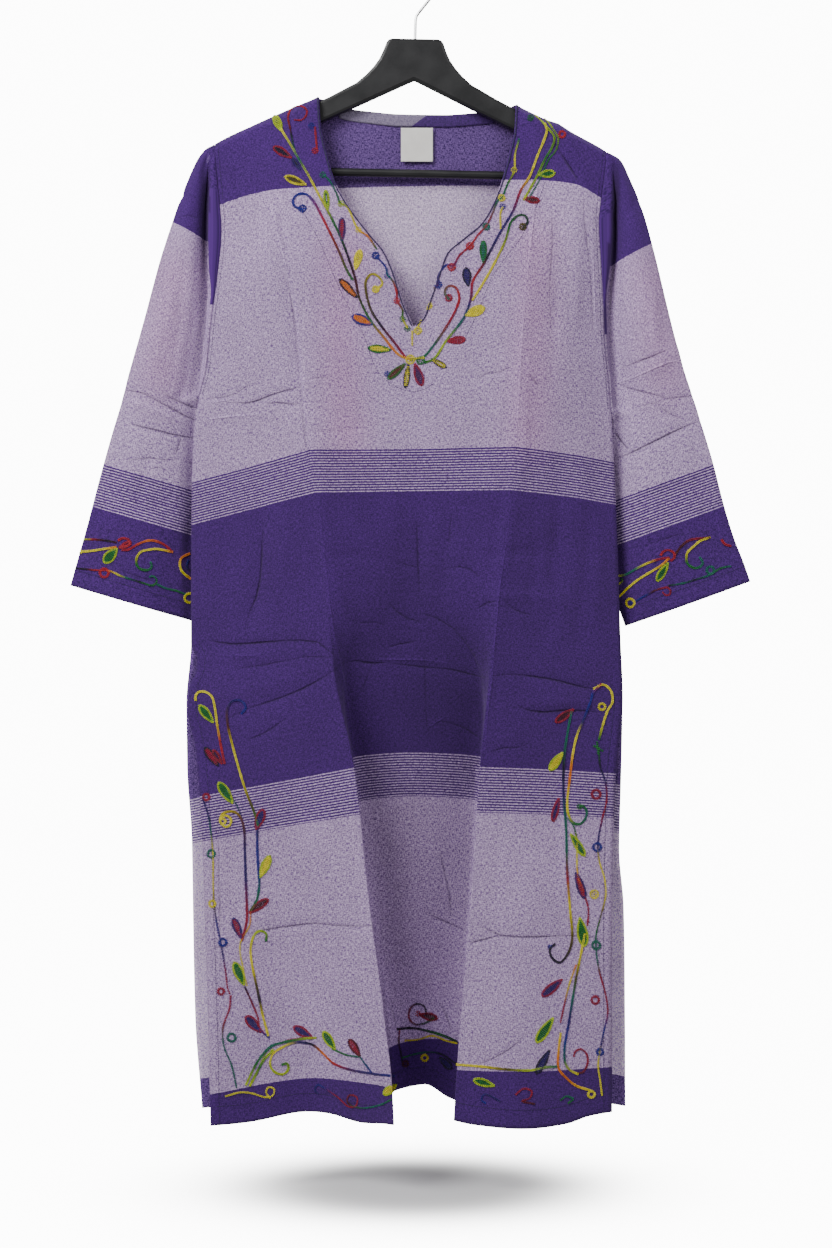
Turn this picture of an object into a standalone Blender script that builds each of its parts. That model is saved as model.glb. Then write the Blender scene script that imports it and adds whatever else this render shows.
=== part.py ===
"""Kurta tunic hanging on a coat hanger, with its origin inside the top of the hanger's hook.

The tunic faces -Y, the wearer's right side is at -X, and +Z is up. Sizes below are in millimetres.
The cloth is a thin wall. Each panel is a net of lines that run down the cloth (side seams, flanks,
fold crests, centre), and a section through those lines is taken at each length down the cloth.
"""
import math
from collections import namedtuple

import bmesh
import bpy
from mathutils import Matrix, Vector

MM = 0.001

# Cloth
CLOTH_WALL = 1.2
SHOULDER_END = 0.5          # half the distance between the front's and the back's shoulder edges
SHOULDER_ROLL = 8.0         # cloth length over which a panel turns down over the hanger's arm
NECK_LEVEL = -137.0         # height from which lengths down the cloth are counted
PATTERN_JOIN = 92.0         # length down the cloth where the purple shoulders end
ARMHOLE_GAP = 1.1
BACK_HEM = 1033.0

# Neck
NECK_BOTTOM = 241.0         # length down the cloth of the point of the V
NECK_LEFT_X = -98.5
NECK_RIGHT_X = 105.0
NECK_TURN = 1.5             # how fast the back neck edge passes behind the hanger's arm
BINDING_HEIGHT = 13.0
BINDING_WALL = 1.0
BINDING_GAP = 0.35
BINDING_DROP = 1.0          # how far the binding's top lies below the neck edge
BINDING_ENDS = (3.5, 6.755)  # places across the back between which the binding shows
LABEL_CENTRE = (3.0, -185.6)
LABEL_SIZE = (33.4, 35.4)
LABEL_WALL = 0.8
LABEL_LEVEL = 50.0          # length down the cloth of the middle of the label
LABEL_OUT = 1.5             # how far in front of the binding the label hangs

# Underarm points, as lengths down the cloth
UNDERARM_LEFT = 281.0
UNDERARM_RIGHT = 317.0

# The square recess between the front's two fold crests, where it is deepest
NOSE_OUT = (8.0, 7.0)       # how far its mouth narrows past the left and the right crest
NOSE_BACK = 16.0            # how far behind the crests the mouth lies
CORNER_OUT = (2.5, 1.5)     # how far past the crests its inner corners lie
CORNER_AHEAD = 8.0          # how far in front of the middle the inner corners lie

# Hanger. It leans a little, about the foot of its hook.
HANGER_LEAN = 1.2
HANGER_X = 1.0
HANGER_THICKNESS = 11.0
HANGER_EDGE = 3.0
BAR_RADIUS = 4.3
BAR_DROP = 139.6            # height of the hook's foot above the middle of the bar
BAR_HALF = 169.5
HOOK_WIRE = 1.5
HOOK_INNER = 22.0
HOOK_FOOT = -77.0
HOOK_GAP = 0.3
HOOK_START, HOOK_END, HOOK_STEP = -10, 206, 12   # degrees round the hook's ring

# Finishes
WELD = 0.00001
CLOTH_ROUGHNESS = 0.9
PURPLE = (0.047, 0.023, 0.13)
LAVENDER = (0.36, 0.31, 0.43)
LABEL_WHITE = (0.80, 0.77, 0.73)
HANGER_BLACK = (0.036, 0.036, 0.039)
HOOK_STEEL = (0.62, 0.62, 0.63)


def table(names, *rows):
    """Rows of sizes under named columns; the first column is the one that the rows are read by."""
    row_type = namedtuple("Row", names)
    return [row_type(*row) for row in rows]


def side_line(seam, side, *below):
    """A panel's side edge: the side seam moved to the panel's own side, then free below the slit."""
    rows = [(row.down, row.x, side * row.gap, row.sag) for row in seam]
    return table("down x depth sag", *rows, *below)


# The side seams with the armholes above them. down: length down the cloth; x: place; gap: half the
# distance between front and back; sag: how far the line hangs below its own length.
SIDE_SEAM_LEFT = table(
    "down x gap sag",
    (0, -208.0, 8.0, 21),
    (28, -207.0, 8.0, 21),
    (92, -201.4, 6.5, 21),
    (115, -199.6, 6.0, 23),
    (163, -204.3, 5.0, 26),
    (203, -210.2, 4.0, 27),
    (255, -216.4, 2.2, 30),
    (281, -223.6, 0.8, 31),
    (325, -229.3, 0.8, 31),
    (370, -230.9, 0.8, 31),
    (537, -232.0, 0.8, 31),
)
SIDE_SEAM_RIGHT = table(
    "down x gap sag",
    (0, 202.0, 8.0, 14),
    (41, 200.0, 8.0, 14),
    (92, 194.2, 6.5, 14),
    (117, 191.6, 6.0, 14),
    (165, 194.4, 5.0, 12),
    (199, 196.3, 4.0, 11),
    (241, 197.9, 3.2, 11),
    (286, 202.6, 1.8, 11),
    (317, 204.9, 0.8, 10),
    (345, 206.4, 0.8, 10),
    (410, 209.6, 0.8, 10),
    (470, 211.8, 0.8, 9),
    (550, 214.4, 0.8, 8),
    (619, 216.9, 0.8, 8),
)

# The front panel's lines. depth is negative towards the front.
FRONT_SIDE_LEFT = side_line(
    SIDE_SEAM_LEFT,
    -1,
    (552, -225.5, -3.5, 31),
    (566, -226.5, -5.0, 31),
    (582, -233.0, -7.0, 31),
    (604, -234.5, -10.0, 31),
    (650, -225.6, -14.0, 30),
    (738, -218.5, -24.0, 30),
    (838, -214.7, -32.0, 29),
    (938, -210.4, -42.0, 28),
    (1034, -207.5, -50.0, 27),
)
FRONT_FLANK_LEFT = table(
    "down x depth sag",
    (0, -178.0, -10.0, 14),
    (92, -175.0, -12.5, 13),
    (230, -168.0, -16.0, 14),
    (370, -167.0, -15.0, 15),
    (500, -165.0, -17.0, 15),
    (600, -160.0, -20.0, 16),
    (696, -146.0, -25.0, 16),
    (830, -126.0, -24.0, 16),
    (940, -112.0, -20.0, 15),
    (1036, -106.0, -20.0, 16),
)
FRONT_FOLD_LEFT = table(
    "down x depth sag",
    (0, -148.0, -10.0, 7),
    (92, -144.0, -17.0, 7),
    (210, -124.0, -25.0, 2),
    (370, -107.0, -31.0, -1),
    (500, -93.0, -36.0, -1),
    (600, -83.0, -40.0, 0),
    (696, -64.0, -46.0, -1),
    (830, -49.0, -54.0, 6),
    (920, -37.0, -60.0, 12),
    (1001, -28.0, -65.0, 17),
    (1036, -26.0, -66.0, 18),
)
FRONT_CENTRE = table(
    "down x depth sag",
    (0, 0.0, -14.0, -2),
    (92, 0.0, -18.0, -2),
    (241, -0.6, -22.0, 0),
    (370, -0.5, -25.0, -2),
    (500, -2.0, -20.0, -5),
    (600, -3.0, -8.0, -9),
    (696, -4.0, 8.0, -14),
    (742, -3.0, 15.0, -14),
    (830, 2.0, 27.0, -10),
    (920, 7.0, 37.0, -6),
    (1001, 10.0, 43.0, -3),
    (1040, 11.0, 45.0, -2),
)
FRONT_FOLD_RIGHT = table(
    "down x depth sag",
    (0, 132.0, -10.0, -3),
    (92, 127.0, -17.0, -3),
    (210, 115.0, -25.0, -3),
    (370, 103.5, -31.0, -4),
    (500, 88.0, -36.0, -3),
    (600, 80.0, -40.0, -3),
    (696, 70.0, -46.0, -2),
    (830, 62.0, -53.0, -1),
    (920, 55.0, -58.0, 0),
    (1001, 49.0, -62.0, 0),
    (1053, 46.0, -63.0, 0),
)
FRONT_FLANK_RIGHT = table(
    "down x depth sag",
    (0, 172.0, -10.0, 3),
    (92, 170.0, -13.0, 2),
    (230, 158.0, -18.0, 2),
    (370, 158.0, -15.0, 2),
    (500, 154.0, -18.0, 2),
    (600, 150.0, -22.0, 2),
    (696, 144.0, -27.0, 2),
    (830, 132.0, -40.0, 2),
    (940, 118.0, -54.0, 2),
    (1056, 106.0, -64.0, 2),
)
FRONT_SIDE_RIGHT = side_line(
    SIDE_SEAM_RIGHT,
    -1,
    (661, 212.4, -6.5, 7),
    (696, 208.9, -11.0, 7),
    (775, 205.9, -18.0, 6),
    (878, 203.9, -24.0, 5),
    (982, 203.6, -28.0, 3),
    (1047, 203.5, -30.0, 2),
)
FRONT_LINES = (
    FRONT_SIDE_LEFT,
    FRONT_FLANK_LEFT,
    FRONT_FOLD_LEFT,
    FRONT_CENTRE,
    FRONT_FOLD_RIGHT,
    FRONT_FLANK_RIGHT,
    FRONT_SIDE_RIGHT,
)
# tuck: 0 where the cloth between the two crests is a shallow dip, 1 where it is a square recess
FRONT_TUCK = table("down tuck", (0, 0.0), (430, 0.0), (600, 0.25), (742, 0.55), (900, 0.85), (1020, 1.0))
# hem: length of the cloth at the hem, longer on one side because the cloth was cut off-square
FRONT_HEM = table(
    "x hem",
    (-207, 1033),
    (-160, 1037),
    (-118, 1035),
    (-88, 1036.5),
    (-55, 1041.5),
    (-26, 1038),
    (10, 1037),
    (38, 1051),
    (64, 1055.5),
    (120, 1058.5),
    (157, 1056),
    (180, 1050),
    (204, 1047.5),
)
NECK_EDGE_LEFT = table(
    "down x",
    (-1, -98.5),
    (29, -96.6),
    (57, -90.6),
    (85, -82.6),
    (106, -72.2),
    (125, -60.0),
    (146, -44.6),
    (164, -30.4),
    (186, -20.6),
    (216, -11.2),
    (241, -0.6),
)
NECK_EDGE_RIGHT = table(
    "down x",
    (11, 105.4),
    (38, 103.9),
    (67, 97.8),
    (94, 90.1),
    (115, 82.0),
    (137, 69.0),
    (153, 50.0),
    (167, 33.5),
    (191, 24.4),
    (215, 15.8),
    (233, 9.0),
    (241, -0.6),
)

# The back panel's lines. depth is positive behind the hanger.
BACK_SIDE_LEFT = side_line(
    SIDE_SEAM_LEFT,
    1,
    (600, -237.6, 8.0, 33),
    (660, -237.4, 14.0, 36),
    (740, -233.2, 22.0, 36),
    (840, -232.4, 30.0, 32),
    (930, -231.0, 36.0, 28),
    (1032, -224.0, 40.0, 26),
)
BACK_FLANK_LEFT = table(
    "down x depth sag",
    (0, -178.0, 10.0, 12),
    (92, -172.0, 12.0, 13),
    (281, -176.0, 13.0, 16),
    (500, -178.0, 17.0, 20),
    (700, -176.0, 30.0, 24),
    (1034, -168.0, 60.0, 24),
)
BACK_FOLD_LEFT = table(
    "down x depth sag",
    (0, -148.0, 10.0, 6),
    (92, -130.0, 14.0, 4),
    (281, -112.0, 24.0, 3),
    (500, -106.0, 38.0, 5),
    (700, -104.0, 58.0, 10),
    (1034, -100.0, 86.0, 14),
)
BACK_CENTRE = table(
    "down x depth sag",
    (0, 0.0, 9.0, -1),
    (92, 0.0, 9.5, -1),
    (281, 0.0, 13.0, 0),
    (500, 0.0, 22.0, 0),
    (700, 2.0, 36.0, 0),
    (1034, 6.0, 60.0, 0),
)
BACK_FOLD_RIGHT = table(
    "down x depth sag",
    (0, 138.0, 10.0, -2),
    (92, 122.0, 14.0, -1),
    (281, 106.0, 24.0, 0),
    (500, 104.0, 38.0, 2),
    (700, 108.0, 58.0, 6),
    (1034, 112.0, 84.0, 10),
)
BACK_FLANK_RIGHT = table(
    "down x depth sag",
    (0, 172.0, 10.0, 4),
    (92, 166.0, 12.0, 4),
    (281, 160.0, 13.0, 6),
    (500, 164.0, 17.0, 8),
    (700, 168.0, 30.0, 14),
    (1034, 172.0, 58.0, 18),
)
BACK_SIDE_RIGHT = side_line(
    SIDE_SEAM_RIGHT,
    1,
    (696, 215.8, 10.0, 20),
    (760, 214.8, 17.0, 23),
    (820, 220.0, 23.0, 24),
    (900, 221.8, 31.0, 24),
    (1031, 223.2, 40.0, 24),
)
BACK_LINES = (
    BACK_SIDE_LEFT,
    BACK_FLANK_LEFT,
    BACK_FOLD_LEFT,
    BACK_CENTRE,
    BACK_FOLD_RIGHT,
    BACK_FLANK_RIGHT,
    BACK_SIDE_RIGHT,
)

# Top edges, as heights by x: the shoulder seams, and the back neck between them
SHOULDERS = table(
    "x height",
    (-209, -187.4),
    (-200, -182.4),
    (-179, -172.2),
    (-164, -165.6),
    (-145, -157.3),
    (-125, -148.8),
    (-107, -141.0),
    (-98.5, -137.6),
    (105, -145.0),
    (112, -148.8),
    (129, -157.3),
    (147, -165.6),
    (159, -171.8),
    (179, -182.2),
    (193, -189.8),
    (203, -196.2),
)
BACK_NECK = table(
    "x height",
    (-86, -142.4),
    (-70, -147.0),
    (-45, -150.4),
    (-15, -153.0),
    (31, -153.8),
    (61, -151.8),
    (80, -149.8),
    (94, -147.8),
)
BACK_TOP = sorted(SHOULDERS + BACK_NECK)

# Sleeves. The cap rows hang from the armhole seam, the tube rows hang below the underarm point.
# outer, inner: the sleeve's two edges, as distances from the middle plane and heights; strip: width of
# cloth that shows before the groove beside the body; groove: its depth; front, back: how far the two
# layers swell; inner_depth: how far the inner edge lies behind the middle.
CAP_LEFT = table(
    "seam_down outer_out outer_z strip groove front back",
    (36, 208.6, -187.4, 0, 0, 0, 0),
    (56, 224.7, -202.4, 6, 5, 7, 13),
    (74, 235.1, -223.2, 8, 14, 9, 22),
    (93, 243.4, -244.0, 11, 20, 10, 28),
    (116, 250.9, -266.0, 13, 23, 11, 31),
    (147, 263.2, -306.4, 10, 22, 11, 32),
    (184, 274.3, -348.0, 3, 17, 11, 31),
    (228, 286.2, -389.6, 2, 13, 10, 28),
    (258, 296.7, -427.0, 1.5, 11, 9, 26),
)
TUBE_LEFT = table(
    "outer_out outer_z inner_out inner_z inner_depth front back",
    (304.9, -459.0, 225.0, -449.6, 0, 8, 24),
    (307.9, -469.0, 227.6, -459.0, 6, 8, 24),
    (312.3, -484.0, 225.0, -476.0, 12, 8, 22),
    (320.7, -514.4, 220.0, -524.0, 17, 8, 20),
    (332.4, -556.0, 220.0, -574.0, 18, 8, 19),
    (343.9, -597.6, 221.0, -625.0, 19, 8, 19),
    (350.8, -622.0, 222.0, -655.0, 19, 9, 19),
    (357.2, -645.0, 223.0, -684.5, 19, 10, 20),
)
CAP_RIGHT = table(
    "seam_down outer_out outer_z strip groove front back",
    (49, 201.4, -195.0, 0, 0, 0, 0),
    (64, 213.4, -202.8, 6, 5, 6, 13),
    (80, 223.7, -223.2, 9, 14, 8, 22),
    (97, 232.6, -244.0, 12, 20, 9, 28),
    (121, 239.8, -266.0, 13, 23, 10, 31),
    (163, 250.8, -306.4, 8, 22, 11, 32),
    (202, 261.2, -348.0, 2.5, 17, 11, 31),
    (245, 272.0, -389.6, 2, 13, 10, 28),
    (284, 284.2, -431.2, 1.5, 11, 9, 26),
)
TUBE_RIGHT = table(
    "outer_out outer_z inner_out inner_z inner_depth front back",
    (294.8, -464.0, 206.4, -464.2, 0, 8, 24),
    (298.2, -475.0, 208.0, -474.0, 6, 8, 24),
    (303.8, -493.0, 204.0, -494.0, 13, 8, 22),
    (310.0, -514.4, 198.0, -537.0, 18, 8, 20),
    (320.4, -556.0, 199.0, -588.0, 19, 8, 19),
    (332.9, -597.6, 205.0, -637.0, 20, 8, 19),
    (341.4, -619.5, 213.5, -663.0, 20, 9, 19),
    (349.2, -641.0, 222.0, -687.0, 20, 10, 20),
)
# Stations round a cap. strip, past, beyond: place as a share of the strip's width, millimetres past
# the strip, and a share of the way from the strip to the outer edge. seam, groove, swell: depth as
# shares of the seam's depth, the groove's and the layer's swelling.
CAP_FRONT = table(
    "strip past beyond seam groove swell",
    (0.0, 0.0, 0.00, 1.0, 0.00, 0.00),
    (0.5, 0.0, 0.00, 1.0, 0.00, 0.15),
    (1.0, 0.0, 0.00, 0.9, 0.00, 0.00),
    (1.0, 1.2, 0.00, 1.0, 0.55, 0.00),
    (1.0, 4.0, 0.00, 1.0, 1.00, 0.00),
    (1.0, 0.0, 0.16, 1.0, 0.45, 0.00),
    (1.0, 0.0, 0.36, 0.0, 0.00, 0.75),
    (1.0, 0.0, 0.60, 0.0, 0.00, 1.00),
    (1.0, 0.0, 0.85, 0.0, 0.00, 0.60),
)
CAP_BACK = table(
    "share seam swell",
    (1.00, 0.0, 0.00),
    (0.82, 0.0, 0.55),
    (0.52, 0.0, 1.00),
    (0.26, 0.0, 0.98),
    (0.08, 0.4, 0.60),
    (0.00, 1.0, 0.00),
)
# Stations round a tube, from the inner edge over the front, the outer edge and the back. inner: depth
# as a share of the inner edge's; offset: millimetres added; front, back: shares of the swelling.
TUBE_STATIONS = table(
    "share inner offset front back",
    (0.000, 1.00, 0.0, 0.0, 0.00),
    (0.015, 0.90, -1.5, 0.0, 0.00),
    (0.040, 0.80, -2.0, 0.0, 0.00),
    (0.080, 0.62, 1.0, 0.0, 0.00),
    (0.140, 0.45, 1.0, 0.0, 0.00),
    (0.220, 0.20, 0.0, 0.0, 0.00),
    (0.400, 0.00, 0.0, 0.7, 0.00),
    (0.620, 0.00, 0.0, 1.0, 0.00),
    (0.860, 0.00, 0.0, 0.6, 0.00),
    (1.000, 0.00, 0.0, 0.0, 0.00),
    (0.840, 0.00, 0.0, 0.0, 0.55),
    (0.560, 0.00, 0.0, 0.0, 0.95),
    (0.280, 0.00, 1.5, 0.0, 1.00),
    (0.070, 0.20, 1.0, 0.0, 0.95),
    (0.000, 1.00, 0.0, 0.0, 0.00),
)

# Hanger outline, right half: top edge out to the tip, then the foot and the lower edge back
HANGER_HALF = table(
    "x z",
    (24.0, -77.0),
    (27.4, -78.2),
    (29.6, -81.0),
    (31.0, -85.0),
    (33.3, -91.0),
    (37.0, -98.8),
    (42.6, -106.8),
    (50.0, -115.0),
    (60.0, -123.8),
    (71.0, -129.8),
    (86.0, -138.2),
    (106.0, -148.2),
    (130.0, -158.4),
    (160.0, -175.0),
    (178.0, -185.4),
    (185.0, -192.4),
    (188.0, -202.0),
    (188.0, -216.0),
    (185.0, -221.0),
    (179.0, -223.5),
    (173.0, -221.5),
    (170.0, -216.0),
    (169.8, -208.0),
    (166.0, -201.5),
    (150.0, -192.0),
    (104.0, -169.4),
    (60.0, -148.8),
    (8.0, -123.9),
)
HANGER_APEX = (0.0, -120.2)


def read(rows, column, at):
    """Reads a column on a smooth curve through the rows that never overshoots them."""
    last = len(rows) - 1
    if at <= rows[0][0]:
        return getattr(rows[0], column)
    if at >= rows[last][0]:
        return getattr(rows[last], column)
    index = max(i for i, row in enumerate(rows) if row[0] <= at)

    def step(i):
        return (getattr(rows[i + 1], column) - getattr(rows[i], column)) / (rows[i + 1][0] - rows[i][0])

    def slope(i):
        if i in (0, last):
            return step(min(i, last - 1))
        before, after = step(i - 1), step(i)
        return 0.0 if before * after <= 0 else 2 * before * after / (before + after)

    span = rows[index + 1][0] - rows[index][0]
    u = (at - rows[index][0]) / span
    return (
        (2 * u**3 - 3 * u**2 + 1) * getattr(rows[index], column)
        + (u**3 - 2 * u**2 + u) * span * slope(index)
        + (3 * u**2 - 2 * u**3) * getattr(rows[index + 1], column)
        + (u**3 - u**2) * span * slope(index + 1)
    )


def curve_point(points, place):
    """Point on a rounded curve through the points: place 0 is the first point, 1 the second and so on."""
    index = min(int(place), len(points) - 2)
    start, end = points[index], points[index + 1]
    before = points[index - 1] if index > 0 else 2 * start - end
    after = points[index + 2] if index + 2 < len(points) else 2 * end - start
    knots = [0.0]
    for a, b in ((before, start), (start, end), (end, after)):
        knots.append(knots[-1] + max((b - a).length, 1e-6) ** 0.5)
    k0, k1, k2, k3 = knots
    k = k1 + (place - index) * (k2 - k1)

    def mix(a, b, ka, kb):
        return a * ((kb - k) / (kb - ka)) + b * ((k - ka) / (kb - ka))

    first = mix(before, start, k0, k1)
    middle = mix(start, end, k1, k2)
    last = mix(end, after, k2, k3)
    return mix(mix(first, middle, k0, k2), mix(middle, last, k1, k3), k1, k2)


def line_point(rows, down):
    height = NECK_LEVEL - down - read(rows, "sag", down)
    return Vector((read(rows, "x", down), read(rows, "depth", down), height))


def front_section(down):
    """The front's 11 stations: three lines, two turns of the recess, the centre, and the same back."""
    lines = [line_point(rows, down) for rows in FRONT_LINES]
    side_l, flank_l, fold_l, centre, fold_r, flank_r, side_r = lines
    tuck = read(FRONT_TUCK, "tuck", down)

    def recess(fold, sign, nose_out, corner_out):
        nose = fold.lerp(centre, 1 / 3)
        corner = fold.lerp(centre, 2 / 3)
        square_nose = Vector((fold.x + sign * nose_out, fold.y + NOSE_BACK, nose.z))
        square_corner = Vector((fold.x + sign * corner_out, centre.y - CORNER_AHEAD, corner.z))
        return nose.lerp(square_nose, tuck), corner.lerp(square_corner, tuck)

    nose_l, corner_l = recess(fold_l, 1, NOSE_OUT[0], CORNER_OUT[0])
    nose_r, corner_r = recess(fold_r, -1, NOSE_OUT[1], CORNER_OUT[1])
    return [side_l, flank_l, fold_l, nose_l, corner_l, centre, corner_r, nose_r, fold_r, flank_r, side_r]


def back_section(down):
    """The back's stations, with as many places as the front's, so that both count from 0 to 10."""
    lines = [line_point(rows, down) for rows in BACK_LINES]
    side_l, flank_l, fold_l, centre, fold_r, flank_r, side_r = lines
    inner_l = [curve_point(lines, 2 + step / 3) for step in (1, 2)]
    inner_r = [curve_point(lines, 3 + step / 3) for step in (1, 2)]
    return [side_l, flank_l, fold_l, *inner_l, centre, *inner_r, fold_r, flank_r, side_r]


def shoulder_turn(point, below, side):
    """Draws the top of a panel in over the hanger's arm, towards the shoulder seam."""
    turn = math.sin(min(1.0, max(0.0, below) / SHOULDER_ROLL) * math.pi / 2)
    seam = side * SHOULDER_END
    return Vector((point.x, seam + (point.y - seam) * turn, point.z))


def top_down(section_of, edge, place):
    """Length down the cloth at which a panel's top edge lies."""
    down = 15.0
    for _ in range(4):
        point = curve_point(section_of(down), place)
        down += point.z - read(edge, "height", point.x)
    return down


def front_point(down, place):
    point = curve_point(front_section(down), place)
    below = read(SHOULDERS, "height", point.x) - point.z
    return shoulder_turn(point, below, -1)


def back_point(down, place):
    point = curve_point(back_section(down), place)
    below = read(BACK_TOP, "height", point.x) - point.z
    inside = min(point.x - NECK_LEFT_X, NECK_RIGHT_X - point.x)
    return shoulder_turn(point, below + max(0.0, inside * NECK_TURN), 1)


def place_at_x(down, x, low, high):
    """Place across the front at which the cloth has a given x."""
    for _ in range(30):
        middle = (low + high) / 2
        if curve_point(front_section(down), middle).x < x:
            low = middle
        else:
            high = middle
    return (low + high) / 2


def add_object(name, mesh, colour, roughness, metallic=0.0):
    thing = bpy.data.objects.new(name, mesh)
    tunic.objects.link(thing)
    material = bpy.data.materials.new(name)
    material.use_nodes = True
    shader = material.node_tree.nodes["Principled BSDF"]
    shader.inputs["Base Color"].default_value = (*colour, 1.0)
    shader.inputs["Roughness"].default_value = roughness
    shader.inputs["Metallic"].default_value = metallic
    mesh.materials.append(material)
    mesh.shade_smooth()
    return thing


def make_solid(curve_thing, colour, roughness, metallic=0.0):
    """Replaces a curve object by a mesh object of its own form, with its caps welded."""
    tunic.objects.link(curve_thing)
    bpy.context.view_layer.update()
    depsgraph = bpy.context.evaluated_depsgraph_get()
    mesh = bpy.data.meshes.new_from_object(curve_thing.evaluated_get(depsgraph))
    name = curve_thing.name
    place = curve_thing.matrix_world.copy()
    bpy.data.objects.remove(curve_thing)
    solid = bmesh.new()
    solid.from_mesh(mesh)
    bmesh.ops.remove_doubles(solid, verts=solid.verts, dist=WELD)
    bmesh.ops.recalc_face_normals(solid, faces=solid.faces)
    solid.to_mesh(mesh)
    solid.free()
    mesh.materials.clear()
    thing = add_object(name, mesh, colour, roughness, metallic)
    thing.matrix_world = place


# Rows of both panels: shares of the way down the purple shoulders, then lengths down the cloth. The
# sleeves use the same rows along the armholes, so that the edges of a seam run side by side.
SHOULDER_ROWS = (0.0, 0.025, 0.05, 0.08, 0.12, 0.2, 0.42, 0.7, 1.0)
PANEL_ROWS = (
    112, 132, 149, 166, 190, 215, 241, 281, 317, 345, 370, 415, 458, 500, 537, 552, 566, 582,
    604, 650, 696, 742, 790, 838, 888, 938, 975, 1001,
)
CAP_START = 4               # the shoulder row at which the sleeve's first ring lies
CENTRE_PLACE = 5            # place of the centre line, halfway between the side seams at 0 and 10
LAST_PLACE = 10
FRONT_COLUMNS = (0, 0.3, 0.65, 1, 1.35, 1.7, 2, 2.35, 2.7, 3, 3.5, 4, 4.5, 5)
BACK_COLUMNS = tuple(i * LAST_PLACE / 24 for i in range(25))
SLEEVE_PLACES = (0, 1, 2, 3, 4, 5, 6, 6.5, 7, 7.5, 8, 8.5, 9, 9.5, 10, 11, 12, 13, 14)


def shoulder_down(section_of, edge, place, share):
    """Length down the cloth at a share of the way from the top edge to the end of the purple shoulders."""
    top = top_down(section_of, edge, place)
    return top + share * (PATTERN_JOIN - top)


def front_net(side):
    """Points of the front's left (0) or right (1) half, from the side to the neck edge or the centre."""
    neck = (NECK_EDGE_LEFT, NECK_EDGE_RIGHT)[side]
    search = ((1, CENTRE_PLACE), (CENTRE_PLACE, 9))[side]

    def places(down):
        inner = CENTRE_PLACE
        if down < NECK_BOTTOM:
            inner = place_at_x(down, read(neck, "x", down), *search)
        shares = [column / CENTRE_PLACE for column in FRONT_COLUMNS]
        if side == 0:
            return [share * inner for share in shares]
        return [LAST_PLACE - share * (LAST_PLACE - inner) for share in reversed(shares)]

    rows = []
    for share in SHOULDER_ROWS:
        across = places(neck[0].down + share * (PATTERN_JOIN - neck[0].down))
        downs = [shoulder_down(front_section, SHOULDERS, place, share) for place in across]
        rows.append([front_point(down, place) for down, place in zip(downs, across)])
    for down in PANEL_ROWS:
        rows.append([front_point(down, place) for place in places(down)])
    hem_row = []
    for place in places(BACK_HEM):
        edge_x = curve_point(front_section(BACK_HEM), place).x
        hem_row.append(front_point(read(FRONT_HEM, "hem", edge_x), place))
    return rows + [hem_row]


def back_net():
    rows = []
    for share in SHOULDER_ROWS:
        downs = [shoulder_down(back_section, BACK_TOP, place, share) for place in BACK_COLUMNS]
        rows.append([back_point(down, place) for down, place in zip(downs, BACK_COLUMNS)])
    for down in (*PANEL_ROWS, BACK_HEM):
        rows.append([back_point(down, place) for place in BACK_COLUMNS])
    return rows


def cap_section(row, side):
    """Stations round a sleeve where it still hangs from the armhole seam, front seam to back seam."""
    place = 0 if side < 0 else LAST_PLACE
    front = front_point(row.seam_down, place)
    back = back_point(row.seam_down, place)
    front.x += side * ARMHOLE_GAP
    back.x += side * ARMHOLE_GAP
    outer = Vector((side * row.outer_out, 0.0, row.outer_z))
    last = len(CAP_FRONT) + len(CAP_BACK) - 1
    if row.strip == 0:
        rise = outer.z - front.z
        arch = []
        for step in range(last + 1):
            turn = math.pi * step / last
            arch.append(Vector((outer.x, front.y * math.cos(turn), front.z + rise * math.sin(turn))))
        return arch
    width = abs(outer.x - front.x)
    edge = row.strip / width
    stations = []
    for station in CAP_FRONT:
        share = station.strip * edge + station.past / width + station.beyond * (1 - edge)
        point = front.lerp(outer, share)
        point.y = station.seam * front.y + station.groove * row.groove - station.swell * row.front
        stations.append(point)
    for station in CAP_BACK:
        point = back.lerp(outer, station.share)
        point.y = station.seam * back.y + station.swell * row.back
        stations.append(point)
    return stations


def tube_section(row, side):
    """Stations round a sleeve below the underarm point, where it is a closed tube."""
    inner = Vector((side * row.inner_out, 0.0, row.inner_z))
    outer = Vector((side * row.outer_out, 0.0, row.outer_z))
    stations = []
    for station in TUBE_STATIONS:
        point = inner.lerp(outer, station.share)
        point.y = station.inner * row.inner_depth + station.offset
        point.y += station.back * row.back - station.front * row.front
        stations.append(point)
    return stations


def sleeve_net(cap, tube, underarm, side):
    """Points of a sleeve: rows at the panels' own rows down to the underarm point, then the tube's rows."""
    place = 0 if side < 0 else LAST_PLACE
    downs = [shoulder_down(front_section, SHOULDERS, place, share) for share in SHOULDER_ROWS[CAP_START:]]
    downs += [down for down in PANEL_ROWS if down < underarm]
    row_type = type(cap[0])
    rows = [row_type(down, *(read(cap, name, down) for name in row_type._fields[1:])) for down in downs]
    rows[0] = rows[0]._replace(strip=0)
    sections = [cap_section(row, side) for row in rows] + [tube_section(row, side) for row in tube]
    return [[curve_point(section, place) for place in SLEEVE_PLACES] for section in sections]


def binding_net():
    """Points of a strip along the inside of the back neck, which are the back panel's, moved inwards."""
    inward = Vector((0.0, -(CLOTH_WALL / 2 + BINDING_GAP + BINDING_WALL / 2), 0.0))
    first, last = BINDING_ENDS
    places = [first + (last - first) * i / 21 for i in range(22)]
    rows = []
    for drop in (BINDING_DROP, BINDING_HEIGHT / 2, BINDING_HEIGHT):
        downs = [top_down(back_section, BACK_TOP, place) + drop for place in places]
        rows.append([back_point(down, place) + inward for down, place in zip(downs, places)])
    return rows


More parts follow.
